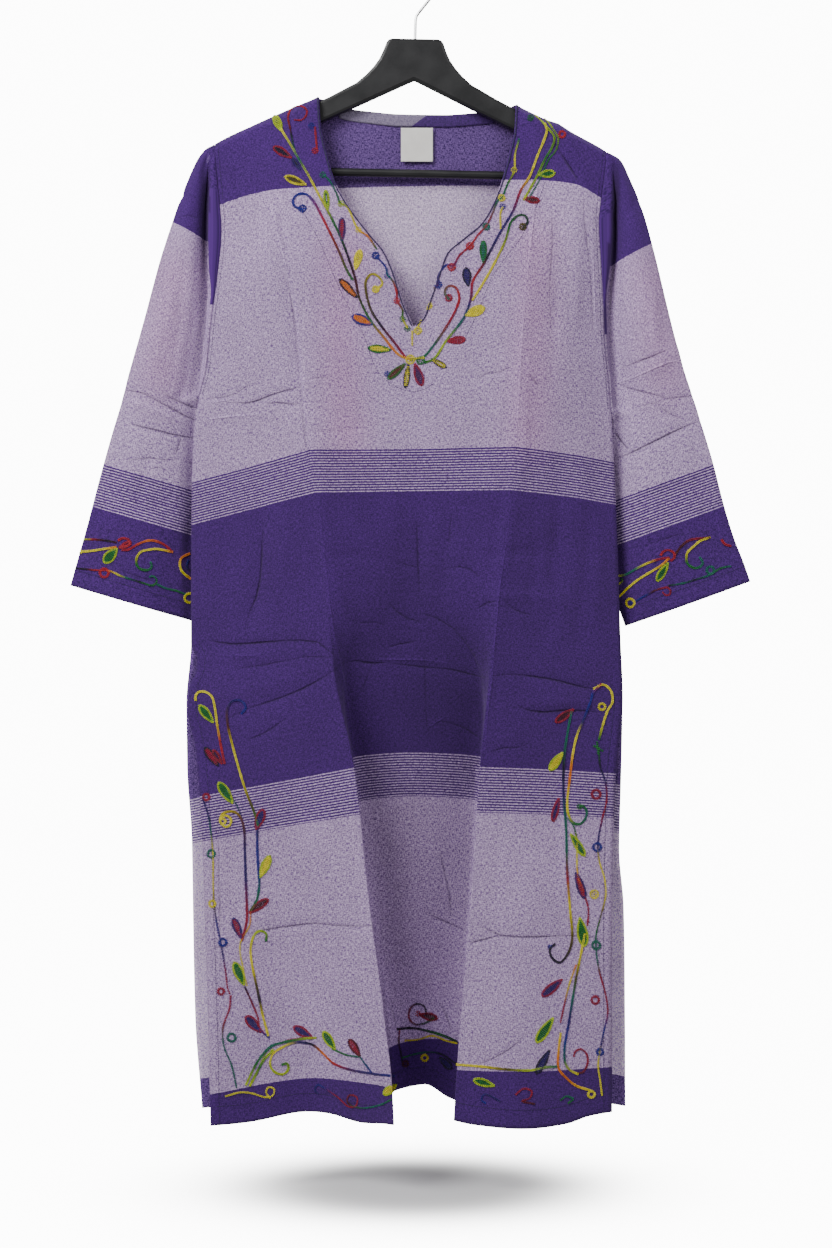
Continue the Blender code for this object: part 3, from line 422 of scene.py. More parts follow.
# Creases
# each crease: how far it stands out (-: trough), its width, and its line, x and z of one place after the other
frontCreases = [
    (1, 7, (-112, -290, -104, -400, -98, -504, -92, -556, -85, -617, -63, -717, -50, -800)),
    (-0.9, 8, (-130, -290, -120, -400, -114, -504, -108, -556, -101, -617, -80, -717)),
    (0.9, 7, (122, -300, 116, -400, 113, -504, 99, -600, 87, -700)),
    (-0.8, 8, (108, -300, 100, -400, 98, -504, 84, -600, 72, -700)),
    (0.9, 9, (-217, -461, -171, -458, -123, -456)), (1.1, 9, (-217, -764, -171, -754, -119, -739)),
    (0.9, 10, (110, -764, 152, -766, 193, -768)), (-1.4, 9, (-158, -535, -159, -598, -164, -650, -175, -712)),
    (1.1, 10, (-183, -525, -185, -598, -189, -660)), (-1, 8, (6, -556, 7, -603, 9, -652)),
    (1, 10, (-23, -525, -21, -618, -19, -702)), (-1.1, 9, (37, -504, 33, -598, 27, -691)),
    (-1.2, 9, (152, -494, 148, -577, 139, -660, 131, -712)), (1.1, 10, (175, -483, 173, -577, 166, -670)),
    (-2.2, 6, (129, -161, 148, -192, 167, -219, 181, -234, 190, -243)),
    (1.6, 7, (139, -153, 162, -188, 183, -217)),
    (-2, 6, (-144, -225, -137, -275, -129, -338, -122, -400, -116, -454)),
    (1.4, 8, (-158, -234, -150, -296, -139, -369, -129, -442)),
    (-1.2, 7, (-185, -213, -181, -265, -175, -338, -171, -400)),
    (-1.3, 7, (152, -254, 148, -327, 144, -390, 143, -452)), (1, 8, (170, -265, 168, -338, 166, -400)),
    (-0.8, 6, (-119, -483, -87, -489, -56, -485)), (-0.8, 7, (69, -618, 110, -610, 152, -614)),
    (-0.9, 6, (-87, -618, -56, -614, -23, -621)), (0.8, 8, (58, -660, 110, -656, 167, -664)),
    (-1.2, 8, (-181, -826, -185, -899, -187, -972, -185, -1034)),
    (1.1, 9, (-158, -837, -158, -920, -156, -1014)),
    (-1.2, 9, (-119, -847, -117, -920, -110, -993, -102, -1076)),
    (1.2, 10, (-90, -868, -83, -951, -73, -1034)), (-1, 9, (89, -847, 87, -920, 83, -1003)),
    (1, 10, (118, -858, 118, -941, 116, -1024)), (-1.1, 9, (148, -826, 148, -910, 152, -993, 158, -1076)),
    (1.6, 12, (-133, -1138, -112, -1118, -100, -1086)), (-1.4, 10, (-171, -1138, -162, -1164, -158, -1190)),
    (-1.2, 8, (-44, -1128, -35, -1164, -31, -1199)), (-1.5, 13, (128, -560, 126, -600, 122, -660, 118, -700)),
    (-1.3, 12, (150, -570, 148, -620, 143, -680, 140, -710)),
    (-1.4, 13, (180, -560, 178, -610, 172, -670, 168, -715)), (1.3, 12, (192, -560, 191, -620, 188, -690)),
    (-1.3, 13, (-184, -556, -185, -600, -187, -640, -184, -690)),
    (1.2, 13, (-135, -560, -134, -610, -133, -670)),
    (1.5, 3.5, (-216, -455, -205, -455, -192, -453, -184, -450)),
    (-1.5, 4, (-213, -451, -197, -450, -184, -447, -176, -441, -167, -436)),
    (-1.7, 4, (-198, -456, -189, -456, -173, -457, -160, -454, -147, -449, -133, -445, -118, -442)),
    (-1.2, 3, (-153, -458, -140, -457, -126, -459, -116, -459)),
    (1.3, 3, (-220, -473, -199, -471, -186, -470, -169, -469, -151, -467)),
    (1, 3, (-116, -437, -101, -434, -83, -433)), (-0.8, 3, (-114, -435, -99, -432, -85, -433)),
    (-0.9, 3, (66, -433, 76, -427, 89, -426, 101, -420)), (0.8, 3, (72, -437, 82, -431, 95, -429)),
    (-0.8, 3, (52, -459, 62, -457, 72, -454)), (-0.9, 3, (118, -428, 124, -435, 130, -441)),
    (-1.3, 3.5, (-130, -332, -125, -361, -121, -397, -118, -433)),
    (-1, 3.5, (-118, -433, -115, -464, -112, -495, -108, -518)),
    (1.2, 4, (-151, -238, -143, -270, -135, -302, -127, -335)), (1.1, 4, (129, -223, 123, -270, 116, -330)),
    (1, 3.5, (-127, -332, -122, -361, -118, -397, -114, -446, -108, -491)),
    (0.9, 4, (116, -330, 111, -392, 108, -454, 104, -505)), (-0.8, 4, (142, -247, 143, -289, 140, -340, 142, -382)),
    (-0.9, 3.5, (175, -243, 177, -273, 181, -304, 184, -340, 186, -382)),
    (0.8, 3.5, (184, -247, 185, -289, 187, -340, 189, -392)),
    (1.3, 3.5, (142, -188, 152, -203, 160, -215, 168, -227)),
    (-1.5, 3.5, (145, -187, 155, -202, 163, -214, 171, -228)),
    (1.3, 3.5, (-98, -556, -94, -599, -89, -640, -84, -681, -79, -712, -73, -742, -68, -773, -63, -814)),
    (1.2, 3.5, (100, -556, 96, -589, 92, -619, 88, -650, 85, -681, 82, -712, 80, -742, 76, -773, 72, -814)),
    (-1.7, 4, (-156, -578, -157, -609, -159, -640, -163, -658, -170, -673, -175, -693)),
    (-1.1, 4, (3, -577, 4, -618, 6, -660)), (-0.9, 4, (39, -571, 37, -587, 36, -606)),
    (-1, 3, (-15, -621, -6, -625, 4, -627)), (-0.9, 3, (29, -629, 46, -626, 58, -629, 69, -638)),
    (-1, 3.5, (-25, -664, -17, -673, -6, -680, 8, -683)),
    (-1.2, 3.5, (8, -674, 25, -680, 40, -689, 52, -702, 62, -718, 69, -737)),
    (-1, 3, (-62, -681, -54, -684, -42, -683, -29, -687)), (-1, 3, (-29, -710, -15, -706, 2, -703)),
    (-1, 3, (66, -669, 76, -663, 86, -662)), (-1.2, 3.5, (94, -662, 102, -670, 115, -675, 129, -676)),
    (-0.9, 3, (-114, -615, -105, -612, -95, -610)),
    (-2, 4, (-213, -702, -189, -706, -156, -704, -117, -702, -98, -704, -82, -717)),
    (-1.1, 3.5, (-182, -731, -158, -728, -132, -723, -112, -719, -81, -720)),
    (-1.4, 3.5, (-199, -785, -182, -778, -170, -772, -148, -765, -117, -753, -88, -737, -71, -725)),
    (-1.6, 3.5, (-73, -725, -60, -723, -44, -726, -29, -725)),
    (0.9, 3.5, (-44, -722, -15, -722, 17, -723, 44, -727)),
    (-1.5, 4, (-23, -726, 11, -730, 37, -732, 58, -737, 77, -742)),
    (-1.7, 4, (78, -739, 98, -737, 121, -739, 150, -744, 175, -751, 193, -753)),
    (-1.8, 4, (104, -768, 117, -774, 134, -776, 160, -774, 193, -777)),
    (-1.1, 3, (-171, -805, -153, -797, -131, -782)), (-1.2, 3.5, (76, -817, 92, -812, 109, -812, 121, -806)),
    (-1.1, 3.5, (21, -787, 33, -787, 52, -793, 69, -804)), (0.9, 3, (10, -797, 22, -788, 34, -781)),
    (-1, 4, (11, -712, 12, -754, 13, -785, 18, -810)), (-1, 4, (-44, -728, -53, -752, -67, -770)),
    (0.9, 3.5, (-207, -717, -178, -718, -156, -717)),
    (-1.5, 3.5, (-171, -1005, -157, -1001, -137, -998, -116, -995, -101, -993, -84, -994, -63, -994, -39, -992)),
    (1, 3.5, (-213, -1009, -202, -1007, -186, -1006)), (-1, 3.5, (-215, -1021, -206, -1019, -194, -1015)),
    (-1.5, 3.5, (61, -991, 73, -996, 88, -1003, 108, -1005, 134, -1005, 154, -1005, 179, -1007, 202, -1012)),
    (-1.3, 3, (57, -1010, 71, -1007, 88, -1003)),
    (-1.4, 4, (15, -990, 25, -995, 38, -1001, 50, -1006, 61, -1013)),
    (-1, 4, (-36, -998, -27, -992, -17, -984)), (-1, 4, (27, -922, 32, -945, 37, -970, 40, -996)),
    (-1.1, 3.5, (65, -1133, 84, -1125, 102, -1114, 118, -1099)),
    (-0.9, 3.5, (-202, -871, -201, -936, -199, -997, -197, -1058)),
    (-1, 4, (-31, -1080, -23, -1094, -19, -1111)), (-1, 4, (27, -1085, 35, -1101, 40, -1116)),
]
backCreases = [
    (-1.5, 5, (-215, -470, -160, -478, -110, -474, -70, -480)), (-1.3, 5, (-218, -520, -150, -530, -96, -524)),
    (1.1, 9, (-210, -495, -140, -505, -80, -500)),
    (-1.5, 4, (-215, -700, -120, -706, -40, -694, 40, -704, 120, -700, 200, -712)),
    (-1.2, 4, (60, -610, 120, -598, 190, -604)), (-1.2, 5, (70, -760, 130, -772, 200, -764)),
    (-1.2, 4, (-220, -860, -150, -852, -90, -858, -20, -846)), (-1.1, 5, (20, -960, 90, -952, 200, -966)),
    (-1, 5, (-218, -1020, -140, -1012, -60, -1022)), (-1.6, 9, (-60, -380, -64, -480, -58, -590)),
    (1.4, 10, (-30, -420, -26, -540, -34, -640)), (-1.5, 9, (44, -330, 50, -460, 42, -600)),
    (1.3, 10, (74, -400, 80, -520, 72, -660)), (-1.4, 8, (-150, -230, -140, -330, -120, -420)),
    (-1.4, 8, (142, -240, 134, -330, 112, -430)), (-1.3, 9, (-120, -880, -124, -980, -116, -1090)),
    (1.3, 10, (-60, -900, -56, -1010, -66, -1120)), (-1.2, 9, (30, -870, 36, -980, 30, -1100)),
    (1.2, 10, (90, -880, 96, -1000, 92, -1120)), (-1.2, 9, (150, -860, 152, -980, 160, -1080)),
]
sleeveCreasesLeft = [
    (1.2, 8, (-298, -454, -264, -465, -227, -475)), (-1.4, 8, (-238, -296, -241, -348, -246, -400, -256, -452)),
    (1.2, 9, (-259, -327, -264, -379, -273, -431)), (-1.2, 8, (-275, -504, -283, -546, -293, -587)),
    (1, 9, (-243, -509, -248, -556, -254, -603)), (-0.9, 6, (-316, -556, -285, -564, -252, -569)),
    (-1, 7, (-227, -535, -233, -587, -239, -634)), (-1.2, 6, (-246, -234, -233, -252, -221, -267)),
    (-2, 4, (-301, -442, -290, -444, -280, -446, -266, -454, -251, -462, -238, -469, -224, -474)),
    (-1.6, 4, (-263, -443, -252, -451, -242, -455, -232, -459, -223, -461)),
    (-1.7, 3.5, (-295, -477, -282, -481, -268, -484, -253, -488, -241, -490, -225, -492)),
    (-1, 3.5, (-297, -516, -284, -514, -272, -513, -259, -515, -245, -515)),
    (1, 3.5, (-299, -453, -284, -457, -268, -463, -251, -471)), (-1, 3, (-235, -518, -231, -521, -227, -526)),
    (-0.9, 4, (-243, -492, -248, -510)), (-0.8, 4, (-274, -525, -266, -523, -257, -525)),
    (-0.9, 4, (-247, -214, -237, -209, -226, -210)), (-0.9, 3.5, (-245, -264, -234, -262, -225, -264)),
    (-0.9, 3, (-305, -629, -284, -637, -263, -642)),
]
sleeveCreasesRight = [
    (1.1, 8, (216, -423, 245, -415, 277, -400)), (-1.3, 8, (227, -296, 229, -348, 233, -395)),
    (1.2, 9, (247, -338, 250, -384, 256, -431)), (-1.2, 8, (245, -473, 258, -525, 272, -577)),
    (1, 9, (274, -494, 287, -546, 302, -598)), (-1, 7, (225, -525, 235, -577, 245, -624)),
    (-1, 6, (235, -556, 268, -548, 304, -535)), (-1.1, 6, (233, -244, 222, -259, 212, -271)),
    (-1.6, 3.5, (214, -420, 230, -414, 247, -408, 263, -401)),
    (1.4, 3.5, (211, -434, 226, -430, 245, -422, 263, -414, 280, -410)),
    (-1.5, 3.5, (211, -434, 224, -440, 236, -444, 251, -448, 263, -452, 276, -450, 292, -448)),
    (-1.1, 3, (234, -459, 247, -457, 259, -453)),
    (-1.9, 4, (207, -514, 224, -508, 245, -498, 263, -489, 280, -481, 301, -473)),
    (-1.6, 3.5, (209, -485, 216, -494, 224, -505)), (-0.9, 3, (253, -460, 263, -466, 276, -473)),
    (-0.9, 3, (228, -607, 245, -602, 263, -596, 282, -590)),
]


creasing = {
    "depth": 1.7,              # scales every crease's relief
    "sharp": 5.0,              # creases up to this wide are drawn sharp in the cloth's material
    "softShare": 0.45, "softer": 1.5,      # what such a crease keeps in the mesh, and how much wider it is there
    "step": 14.0,              # length of the straight bits of its line
    "reach": 9.0,              # how far the material draws it
    "far": 30.0,               # stands for no crease near
}


def besideCrease(x, z, crease, phase):
    # how far places lie from a crease's line (with a sign for the side), and how deep and wide it is there;
    # creases fade at their ends and vary along
    depth, width, path = crease
    line = roundPath(path, creasing["step"])
    start = np.concatenate([[0], np.cumsum(np.linalg.norm(np.diff(line, axis=0), axis=1))])
    nearest = np.full(x.shape, np.inf)
    offset, along = np.zeros(x.shape), np.zeros(x.shape)
    for a, b, begun in zip(line, line[1:], start):
        dx, dz = b[0] - a[0], b[2] - a[2]
        reach = math.hypot(dx, dz)
        share = np.clip(((x - a[0]) * dx + (z - a[2]) * dz) / reach**2, 0, 1)
        away = np.hypot(x - a[0] - share * dx, z - a[2] - share * dz)
        closer = away < nearest
        nearest = np.where(closer, away, nearest)
        offset = np.where(closer, np.where((x - a[0]) * dz < (z - a[2]) * dx, -away, away), offset)
        along = np.where(closer, begun + share * reach, along)
    fade = np.sqrt(np.clip(np.sin(math.pi * np.clip(along / start[-1], 0, 1)), 0, 1))
    uneven = 1 + 0.3 * np.sin(along / 19.0 + phase) + 0.15 * np.sin(along / 7.3 + 2 * phase)
    return offset, depth * fade * uneven, width * (1 + 0.25 * np.sin(along / 31.0 + 1.3 * phase))


def press(points, normals, creases, seed):
    # moves cloth along its normals where a crease passes, softly where its material draws the line itself
    shift = np.zeros(points.shape[:-1])
    for number, crease in enumerate(creases):
        offset, deep, wide = besideCrease(points[..., 0], points[..., 2], crease, seed + 1.7 * number)
        if crease[1] <= creasing["sharp"]:
            deep, wide = creasing["softShare"] * deep, wide + creasing["softer"]
        away = np.abs(offset)
        near = np.exp(-((away / wide) ** 1.35)) - 0.3 * np.exp(-((away / (2.6 * wide)) ** 2))
        shift += creasing["depth"] * deep * near
    return points + normals * shift[..., None]


def markCreases(piece, creases, seed):
    # writes each point's distance from the nearest sharp creases, and their depth, for the cloth's material
    mesh = piece.data
    co = meshPoints(mesh)
    away, deep = np.full((len(co), 3), creasing["far"]), np.zeros((len(co), 3))
    sharp = [(number, crease) for number, crease in enumerate(creases) if crease[1] <= creasing["sharp"]]
    for turn, (number, crease) in enumerate(sharp):
        offset, depth, _ = besideCrease(co[:, 0], co[:, 2], crease, seed + 1.7 * number)
        layer = turn % 3
        closer = np.abs(offset) < np.abs(away[:, layer])
        away[closer, layer] = offset[closer]
        deep[closer, layer] = (depth * np.clip(1 - (offset / creasing["reach"]) ** 2, 0, 1) ** 2)[closer]
    mark(mesh, "creaseAway", away, "FLOAT_VECTOR", "vector")
    mark(mesh, "creaseDeep", deep, "FLOAT_VECTOR", "vector")


def mark(mesh, name, values, kind="FLOAT", field="value"):
    # a value of its own for each point of a mesh
    mesh.attributes.new(name, kind, "POINT").data.foreach_set(field, np.ravel(values).astype(np.float32))


def pointValues(mesh, field):
    values = np.empty(len(mesh.vertices) * 3)
    mesh.vertices.foreach_get(field, values)
    return values.reshape(-1, 3)


def meshPoints(mesh):
    return pointValues(mesh, "co") / mm


def settle(points, normals, amount, seed):
    # the faint unevenness of hanging cotton
    x, z = points[..., 0], points[..., 2]
    waves = (
        np.sin(x / 23.0 + 0.4 * np.sin(z / 61.0 + seed) + seed)
        + 0.8 * np.sin(x / 11.0 + z / 95.0 + 2.1 * seed)
        + 0.6 * np.sin(z / 37.0 + x / 70.0 + 1.3 * seed)
        + 0.4 * np.sin(z / 15.0 - x / 33.0 + 0.7 * seed)
    )
    return points + normals * (amount * waves)[..., None]


# Sleeves
sleeves = {
    "armholeGap": 0.35,
    "rowStep": 3.5,
    "places": evenPlaces((0, 2, 3, 4, 5, 6, 9, 14), (4, 4, 5, 7, 9, 30, 38)),
    "outerTop": {-1: (-208.6, -187.4), 1: (201.4, -195.0)},
    "fall": {-1: (28.7, 16.0), 1: (29.9, 19.9)},              # how far the weave droops, at the top and lower down
    "woven": {-1: (90.4, 350.7, 395.7), 1: (104.6, 342.5, 386.7)},
    "bands": (92.0, 350.0, 394.0),
    "purpleStrip": 42.0,
    "stripEnd": {-1: -352, 1: -385},
}


def capSection(row, side):
    # stations round a sleeve where it hangs from the armhole seam, front seam to back seam
    seamDown, outerOut, outerZ, strip, groove, swellFront, swellBack = row
    front = frontPoint(np.array([seamDown]), np.array([0.0 if side < 0 else 14.0]))[0]
    back = backPoint(np.array([seamDown]), np.array([0.0 if side < 0 else 10.0]))[0]
    front[0] += side * sleeves["armholeGap"]
    back[0] += side * sleeves["armholeGap"]
    outer = np.array([side * outerOut, 0.0, outerZ])
    if strip == 0:
        last = len(capFront) + len(capBack) - 1
        turn = math.pi * np.arange(last + 1) / last
        return np.stack(
            [
                front[0] + (outer[0] - front[0]) * np.sin(turn), front[1] * np.cos(turn),
                front[2] + (outer[2] - front[2]) * np.sin(turn),
            ],
            axis=-1,
        )
    width = abs(outer[0] - front[0])
    edge = strip / width
    room = min(1.0, width / 14.0)
    stations = []
    for share, past, beyond, seam, deep, swell in capFront:
        point = front + (outer - front) * min(0.98, share * edge + past * room / width + beyond * (1 - edge))
        point[1] = seam * front[1] + deep * groove - swell * swellFront
        stations.append(point)
    for share, seam, swell in capBack:
        point = back + (outer - back) * share
        point[1] = seam * back[1] + swell * swellBack
        stations.append(point)
    return np.array(stations)


def tubeSection(row, side):
    # stations round a sleeve below the underarm, where it is a closed tube
    outerOut, outerZ, innerOut, innerZ, innerDepth, swellFront, swellBack = row
    inner = np.array([side * innerOut, 0.0, innerZ])
    outer = np.array([side * outerOut, 0.0, outerZ])
    stations = []
    for share, deep, offset, front, back in tubeStations:
        point = inner + (outer - inner) * share
        point[1] = deep * innerDepth + offset + back * swellBack - front * swellFront
        stations.append(point)
    return np.array(stations)


def sleeveNet(cap, tube, underarm, side):
    # points of a sleeve: rows beside the armhole down to the underarm point, then the tube's rows
    top = topDown(frontSection, shoulders, np.array([0.0 if side < 0 else 14.0]))[0]
    shares = np.linspace(0.03, 1, 22)
    count = int((underarm - yokeEnd) / sleeves["rowStep"])
    downs = np.concatenate([top + shares * (yokeEnd - top), np.linspace(yokeEnd, underarm, count)[1:-1]])
    cap = cap + [(underarm, tube[0][0] - 0.4, tube[0][1] + 1.5, 1.2, 8.0, tube[0][5], tube[0][6])]
    columns = [glide(cap, column, downs) for column in range(1, 7)]
    columns[2][0] = 0
    caps = np.array([capSection(row, side) for row in zip(downs, *columns)])
    rings = np.array([tubeSection(row, side) for row in tube])
    keys = np.concatenate([caps[-3:], rings])
    steps = np.linalg.norm(np.diff(keys[:, 9], axis=0), axis=1)
    lengths = np.concatenate([[0], np.cumsum(steps)])
    rows = np.column_stack([lengths, keys.reshape(len(keys), -1)])
    begin = lengths[2]
    reach = np.linspace(begin, lengths[-1], int((lengths[-1] - begin) / sleeves["rowStep"]) + 1)[1:]
    between = np.stack([glide(rows, 1 + c, reach) for c in range(keys[0].size)], axis=-1)
    sections = np.concatenate([caps, between.reshape(len(reach), *keys[0].shape)])
    places = sleeves["places"]
    every = np.repeat(sections, len(places), axis=0)
    return curveAt(every, np.tile(places, len(sections))).reshape(len(sections), len(places), 3)


# Shader groups
def tone(red, green, blue):
    # a shader colour from an ordinary 0 to 255 screen colour
    def straight(v):
        v /= 255
        return v / 12.92 if v <= 0.04045 else ((v + 0.055) / 1.055) ** 2.4

    return (straight(red), straight(green), straight(blue), 1.0)


sockets = {"number": "NodeSocketFloat", "vector": "NodeSocketVector", "colour": "NodeSocketColor"}


def newGroup(name, inputs, outputs):
    # inputs: a kind of socket, or the number that a number's socket starts with
    tree = bpy.data.node_groups.new(name, "ShaderNodeTree")
    for socketName, value in inputs.items():
        kind = sockets[value if isinstance(value, str) else "number"]
        socket = tree.interface.new_socket(socketName, in_out="INPUT", socket_type=kind)
        if not isinstance(value, str):
            socket.default_value = value
    for socketName, kind in outputs.items():
        tree.interface.new_socket(socketName, in_out="OUTPUT", socket_type=sockets[kind])
    return NodeKit(tree), tree.nodes.new("NodeGroupInput").outputs, tree.nodes.new("NodeGroupOutput").inputs


class NodeKit:
    # short ways to add the nodes that every tree here uses
    def __init__(self, tree):
        self.tree = tree

    def feed(self, socket, value):
        if isinstance(value, bpy.types.NodeSocket):
            self.tree.links.new(value, socket)
        elif value is not None:
            socket.default_value = value

    def make(self, kind, inputs=(), **settings):
        # a new node with its settings, and its inputs by name or by number
        node = self.tree.nodes.new(kind)
        for name, value in settings.items():
            setattr(node, name, value)
        for place, value in dict(inputs).items():
            self.feed(node.inputs[place], value)
        return node.outputs

    def math(self, operation, a, b=None):
        return self.make("ShaderNodeMath", {0: a, 1: b}, operation=operation)[0]

    def plus(self, a, b):
        return self.math("ADD", a, b)

    def minus(self, a, b):
        return self.math("SUBTRACT", a, b)

    def times(self, a, b):
        return self.math("MULTIPLY", a, b)

    def mix(self, share, a, b, blend="MIX"):
        return self.make("ShaderNodeMix", {0: share, 6: a, 7: b}, data_type="RGBA", blend_type=blend)[2]

    def noise(self, vector, scale, detail=2.0, rough=0.5):
        settings = {"Vector": vector, "Scale": scale, "Detail": detail, "Roughness": rough}
        return self.make("ShaderNodeTexNoise", settings)[0]

    def stretched(self, vector, x, y, detail=1.0, rough=0.5):
        # noise with its own scale across and down the cloth
        return self.noise(self.vector("MULTIPLY", vector, (x, y, 1.0)), 1.0, detail, rough)

    def spread(self, value, low, high, toLow=0.0, toHigh=1.0):
        return self.make("ShaderNodeMapRange", {0: value, 1: low, 2: high, 3: toLow, 4: toHigh})[0]

    def vector(self, operation, a, b):
        made = self.make("ShaderNodeVectorMath", {0: a, 1: b}, operation=operation)
        return made["Value" if operation == "DOT_PRODUCT" else 0]

    def join(self, x, y):
        return self.make("ShaderNodeCombineXYZ", {0: x, 1: y})[0]

    def grey(self, value):
        return self.make("ShaderNodeCombineColor", {0: value, 1: value, 2: value})[0]

    def split(self, vector):
        return self.make("ShaderNodeSeparateXYZ", {0: vector})

    def place(self):
        return self.make("ShaderNodeTexCoord")["Object"]

    def cut(self):
        return self.make("ShaderNodeUVMap")[0]

    def attribute(self, name, output="Fac"):
        return self.make("ShaderNodeAttribute", attribute_name=name)[output]

    def group(self, tree, **values):
        return self.make("ShaderNodeGroup", values, node_tree=tree)


def bandGroup():
    # 0 where the woven cloth is purple, 1 where it is lavender, by length down the cloth in metres
    kit, given, out = newGroup("wovenBands", {
        "Down": 0.0, "Yoke": 0.092, "StripesTop": 0.37, "Body": 0.415, "StripesLow": 0.696, "Skirt": 0.742,
        "Hem": 1.001, "Pitch": 0.00275, "LineTop": 0.56, "LineLow": 0.48,
    }, {"Mask": "number"})

    def between(first, last):
        return kit.minus(*[kit.math("GREATER_THAN", given["Down"], given[edge]) for edge in (first, last)])

    def lines(start, share):
        turns = kit.math("DIVIDE", kit.minus(given["Down"], given[start]), given["Pitch"])
        return kit.math("LESS_THAN", kit.math("FRACT", turns), given[share])

    dark = kit.times(between("StripesTop", "Body"), kit.minus(1.0, lines("StripesTop", "LineTop")))
    light = kit.times(between("StripesLow", "Skirt"), lines("StripesLow", "LineLow"))
    plain = kit.plus(between("Yoke", "StripesTop"), between("Skirt", "Hem"))
    kit.feed(out["Mask"], kit.plus(plain, kit.plus(dark, light)))
    return kit.tree


chambrayWeave = {
    "thread": (1350.0, 330.0),             # changes in a metre, across a thread and along it
    "fleck": 1300.0,                       # the single fibres
    "slub": (30.0, 420.0),                 # thick places of the threads that run across
    "streak": (520.0, 26.0),               # and of the ones that run down
    "cloud": (14.0, 11.0),                 # slow unevenness of the dye
    "yarnShade": (0.84, 1.16), "cloudShade": (0.92, 1.08),
}


def chambrayGroup():
    # woven cotton of two shades of yarn: its colour for a mask, and its relief
    colours = dict.fromkeys(("PurpleDeep", "PurpleLight", "LavenderDeep", "LavenderLight", "Warm"), "colour")
    kit, given, out = newGroup("chambray", {
        "Place": "vector", "Mask": 0.0, **colours, "Warmth": 0.0,
    }, {"Colour": "colour", "Relief": "number"})
    place = given["Place"]
    across, along = chambrayWeave["thread"]
    crossing = kit.plus(kit.stretched(place, across, along), kit.stretched(place, along, across))
    fleck = kit.noise(place, chambrayWeave["fleck"], 1.0, 0.5)
    yarn = kit.plus(kit.times(crossing, 0.35), kit.times(fleck, 0.3))
    speck = kit.spread(yarn, 0.42, 0.58)
    slub = kit.stretched(place, *chambrayWeave["slub"], 3.0, 0.65)
    streak = kit.stretched(place, *chambrayWeave["streak"], 3.0, 0.65)
    cloud = kit.stretched(place, *chambrayWeave["cloud"], 3.0, 0.55)
    lavender = kit.mix(speck, given["LavenderDeep"], given["LavenderLight"])
    lavender = kit.mix(given["Warmth"], lavender, given["Warm"], "MULTIPLY")
    purple = kit.mix(speck, given["PurpleDeep"], given["PurpleLight"])
    colour = kit.mix(given["Mask"], purple, lavender)
    uneven = kit.plus(kit.times(slub, 0.5), kit.times(streak, 0.5))
    shade = kit.times(
        kit.spread(uneven, 0.3, 0.7, *chambrayWeave["yarnShade"]),
        kit.spread(cloud, 0.3, 0.7, *chambrayWeave["cloudShade"]))
    kit.feed(out["Colour"], kit.mix(1.0, colour, kit.grey(shade), "MULTIPLY"))
    kit.feed(out["Relief"], kit.plus(yarn, kit.times(uneven, 0.4)))
    return kit.tree


def creaseGroup():
    # the relief, in millimetres, of the creases that a cloth's points tell of, and their painted shade and light
    kit, given, out = newGroup("creases", {
        "Away": "vector", "Deep": "vector", "Width": 1.2, "Shelter": 0.0,
    }, {"Relief": "number", "Shade": "number"})
    near = kit.vector("DIVIDE", given["Away"], given["Width"])
    falling = kit.vector("ADD", kit.vector("MULTIPLY", near, near), (1.0, 1.0, 1.0))
    each = kit.vector("DIVIDE", given["Deep"], kit.vector("MULTIPLY", falling, falling))
    total = kit.vector("DOT_PRODUCT", each, (1.0, 1.0, 1.0))
    kit.feed(out["Relief"], kit.times(total, 0.65))
    # painted shade in the troughs and painted light on the ridges, times the painted shade and light of the folds
    kit.feed(out["Shade"], kit.times(kit.spread(total, -2.4, 0.6, 0.28, 1.18), kit.minus(1.0, given["Shelter"])))
    return kit.tree


bands = bandGroup()
chambray = chambrayGroup()
creaseLines = creaseGroup()
yarns = {
    "PurpleDeep": tone(40, 14, 74), "PurpleLight": tone(78, 38, 120),
    "LavenderDeep": tone(104, 76, 130), "LavenderLight": tone(212, 186, 224),
    "Warm": tone(255, 226, 236),
}
reverse = {
    **yarns, "PurpleDeep": tone(36, 14, 72), "PurpleLight": tone(124, 92, 160),
    "LavenderDeep": tone(142, 114, 166), "LavenderLight": tone(242, 222, 248),
}
bindingYarns = {**yarns, "LavenderDeep": tone(104, 92, 120), "LavenderLight": tone(150, 138, 166)}


def newMaterial(name, rough, sheen=0.0, others=()):
    # others: more of the shader's inputs, by name
    material = bpy.data.materials.new(name)
    material.use_nodes = True
    shader = material.node_tree.nodes["Principled BSDF"]
    for socket, value in {"Roughness": rough, "Sheen Weight": sheen, **dict(others)}.items():
        shader.inputs[socket].default_value = value
    return material, NodeKit(material.node_tree), shader


def bump(kit, shader, height, strength, distance, under=None):
    values = {"Strength": strength, "Distance": distance, "Height": height, "Normal": under}
    normal = kit.make("ShaderNodeBump", values)[0]
    kit.feed(shader.inputs["Normal"], normal)
    return normal


cottonShine = {"Specular IOR Level": 0.25, "Sheen Roughness": 0.6, "Sheen Tint": (0.62, 0.45, 0.85, 1.0)}


